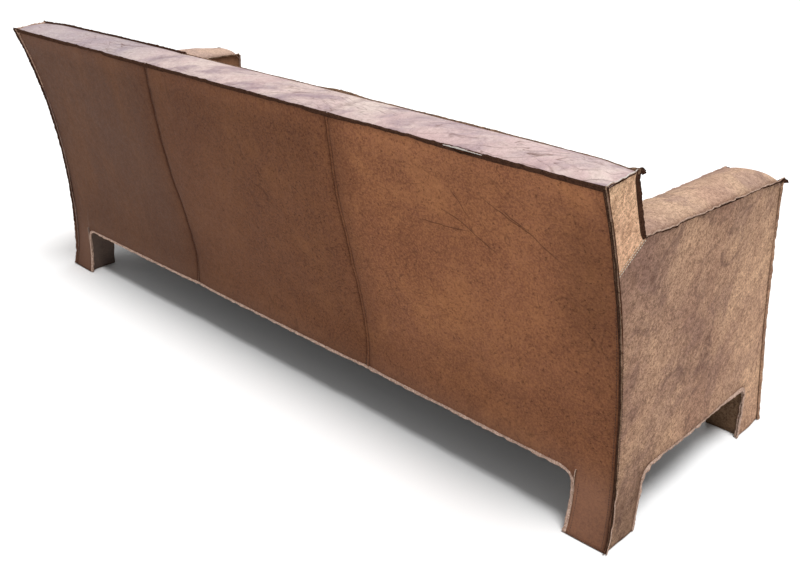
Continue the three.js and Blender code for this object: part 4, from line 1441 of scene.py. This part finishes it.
def cushion_seams(name, piece, low, high):
    """A raw seam round the top of a cushion and one round its foot, on the cushion's own surface."""
    tree = BVHTree.FromObject(piece, bpy.context.evaluated_depsgraph_get())
    middle = (low + high) / 2
    half = (high - low) / 2
    for label, height, lift in (("top", high.z - 0.006, 0.75), ("foot", low.z + 0.022, 0.0)):
        line = []
        for i in range(240):
            a = 2 * math.pi * i / 240
            cx, cy = math.cos(a), math.sin(a)
            reach = (abs(cx) ** 14 + abs(cy) ** 14) ** (-1 / 14)
            wide, deep = half.x * 1.15, half.y * 1.15
            outer = Vector((middle.x + cx * reach * wide, middle.y + cy * reach * deep, height + lift * 0.03))
            wide, deep = half.x - 0.06, half.y - 0.06
            toward = Vector((middle.x + cx * reach * wide, middle.y + cy * reach * deep, height - lift * 0.03))
            hit = tree.ray_cast(outer, (toward - outer).normalized())[0]
            line.append(hit if hit else toward)
        line.append(line[0].copy())

        def outward(p, lift=lift):
            out = Vector(((p.x - middle.x) / half.x, (p.y - middle.y) / half.y, 0))
            across = out.x if abs(out.x) > abs(out.y) * 0.98 else 0
            along = out.y if abs(out.y) > abs(out.x) * 0.98 else 0
            flat = Vector((across, along, 0))
            return (flat.normalized() + Vector((0, 0, lift))).normalized()

        skins = ((SEAT_HIDE, TAN_CUT), (SEAT_HIDE, DARK_CUT))
        fin(f"{name}_{label}", line, outward, 0.0075, skins, 0.12, 60 + lift)


for k, part in enumerate(("near", "mid", "far")):
    low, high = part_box("seat_cushion_" + part)
    inset = Vector((0.006, 0.008, 0.0))
    shell_low, shell_high = low + inset, high - inset - Vector((0, 0, 0.012))
    bm = cushion_shell(shell_low, shell_high)
    bm.verts.layers.float.new("edge")
    cushion = finished("cushion_" + part, bm, (SEAT_HIDE,))
    filled(cushion, shell_low)
    seated(cushion, low, high, 5.0 * k)
    cushion.data.materials.clear()
    cushion.data.materials.append(SEAT_HIDE)
    cushion.data.shade_smooth()
    finer = cushion.modifiers.new("finer", "SUBSURF")
    finer.levels = finer.render_levels = 1
    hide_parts("seat_cushion_" + part)
    bpy.context.view_layer.update()
    cushion_seams("seam_cushion_" + part, cushion, low, high)


# ---------------------------------------------------------------- floor and light
def studio():
    bm = bmesh.new()
    bmesh.ops.create_grid(bm, x_segments=1, y_segments=1, size=14.0)
    mesh = bpy.data.meshes.new("floor")
    bm.to_mesh(mesh)
    bm.free()
    f = Finish("floor_white")
    f.set(Base_Color=(1.0, 1.0, 1.0), Roughness=0.9, Specular_IOR_Level=0.0)
    mesh.materials.append(f.material)
    floor = bpy.data.objects.new("floor", mesh)
    bpy.context.scene.collection.objects.link(floor)
    world = bpy.data.worlds.new("studio")
    world.use_nodes = True
    world.node_tree.nodes["Background"].inputs["Color"].default_value = (1.0, 1.0, 1.0, 1.0)
    world.node_tree.nodes["Background"].inputs["Strength"].default_value = 0.36
    bpy.context.scene.world = world


def lamp(name, kind, place, target, power, **settings):
    data = bpy.data.lights.new(name, kind)
    data.energy = power
    for key, setting in settings.items():
        setattr(data, key, setting)
    made = bpy.data.objects.new(name, data)
    made.location = place
    made.rotation_euler = (Vector(target) - Vector(place)).to_track_quat("-Z", "Y").to_euler()
    bpy.context.scene.collection.objects.link(made)


studio()
lamp("overhead", "SUN", (-1.1, 0.5, 3.6), (0, 0, 0.3), 2.8, angle=math.radians(22))
lamp("seat_fill", "AREA", (1.8, -4.6, 2.4), (0, 0, 0.4), 45, shape="RECTANGLE", size=3.0, size_y=2.0)
bpy.context.scene.view_settings.view_transform = "Standard"
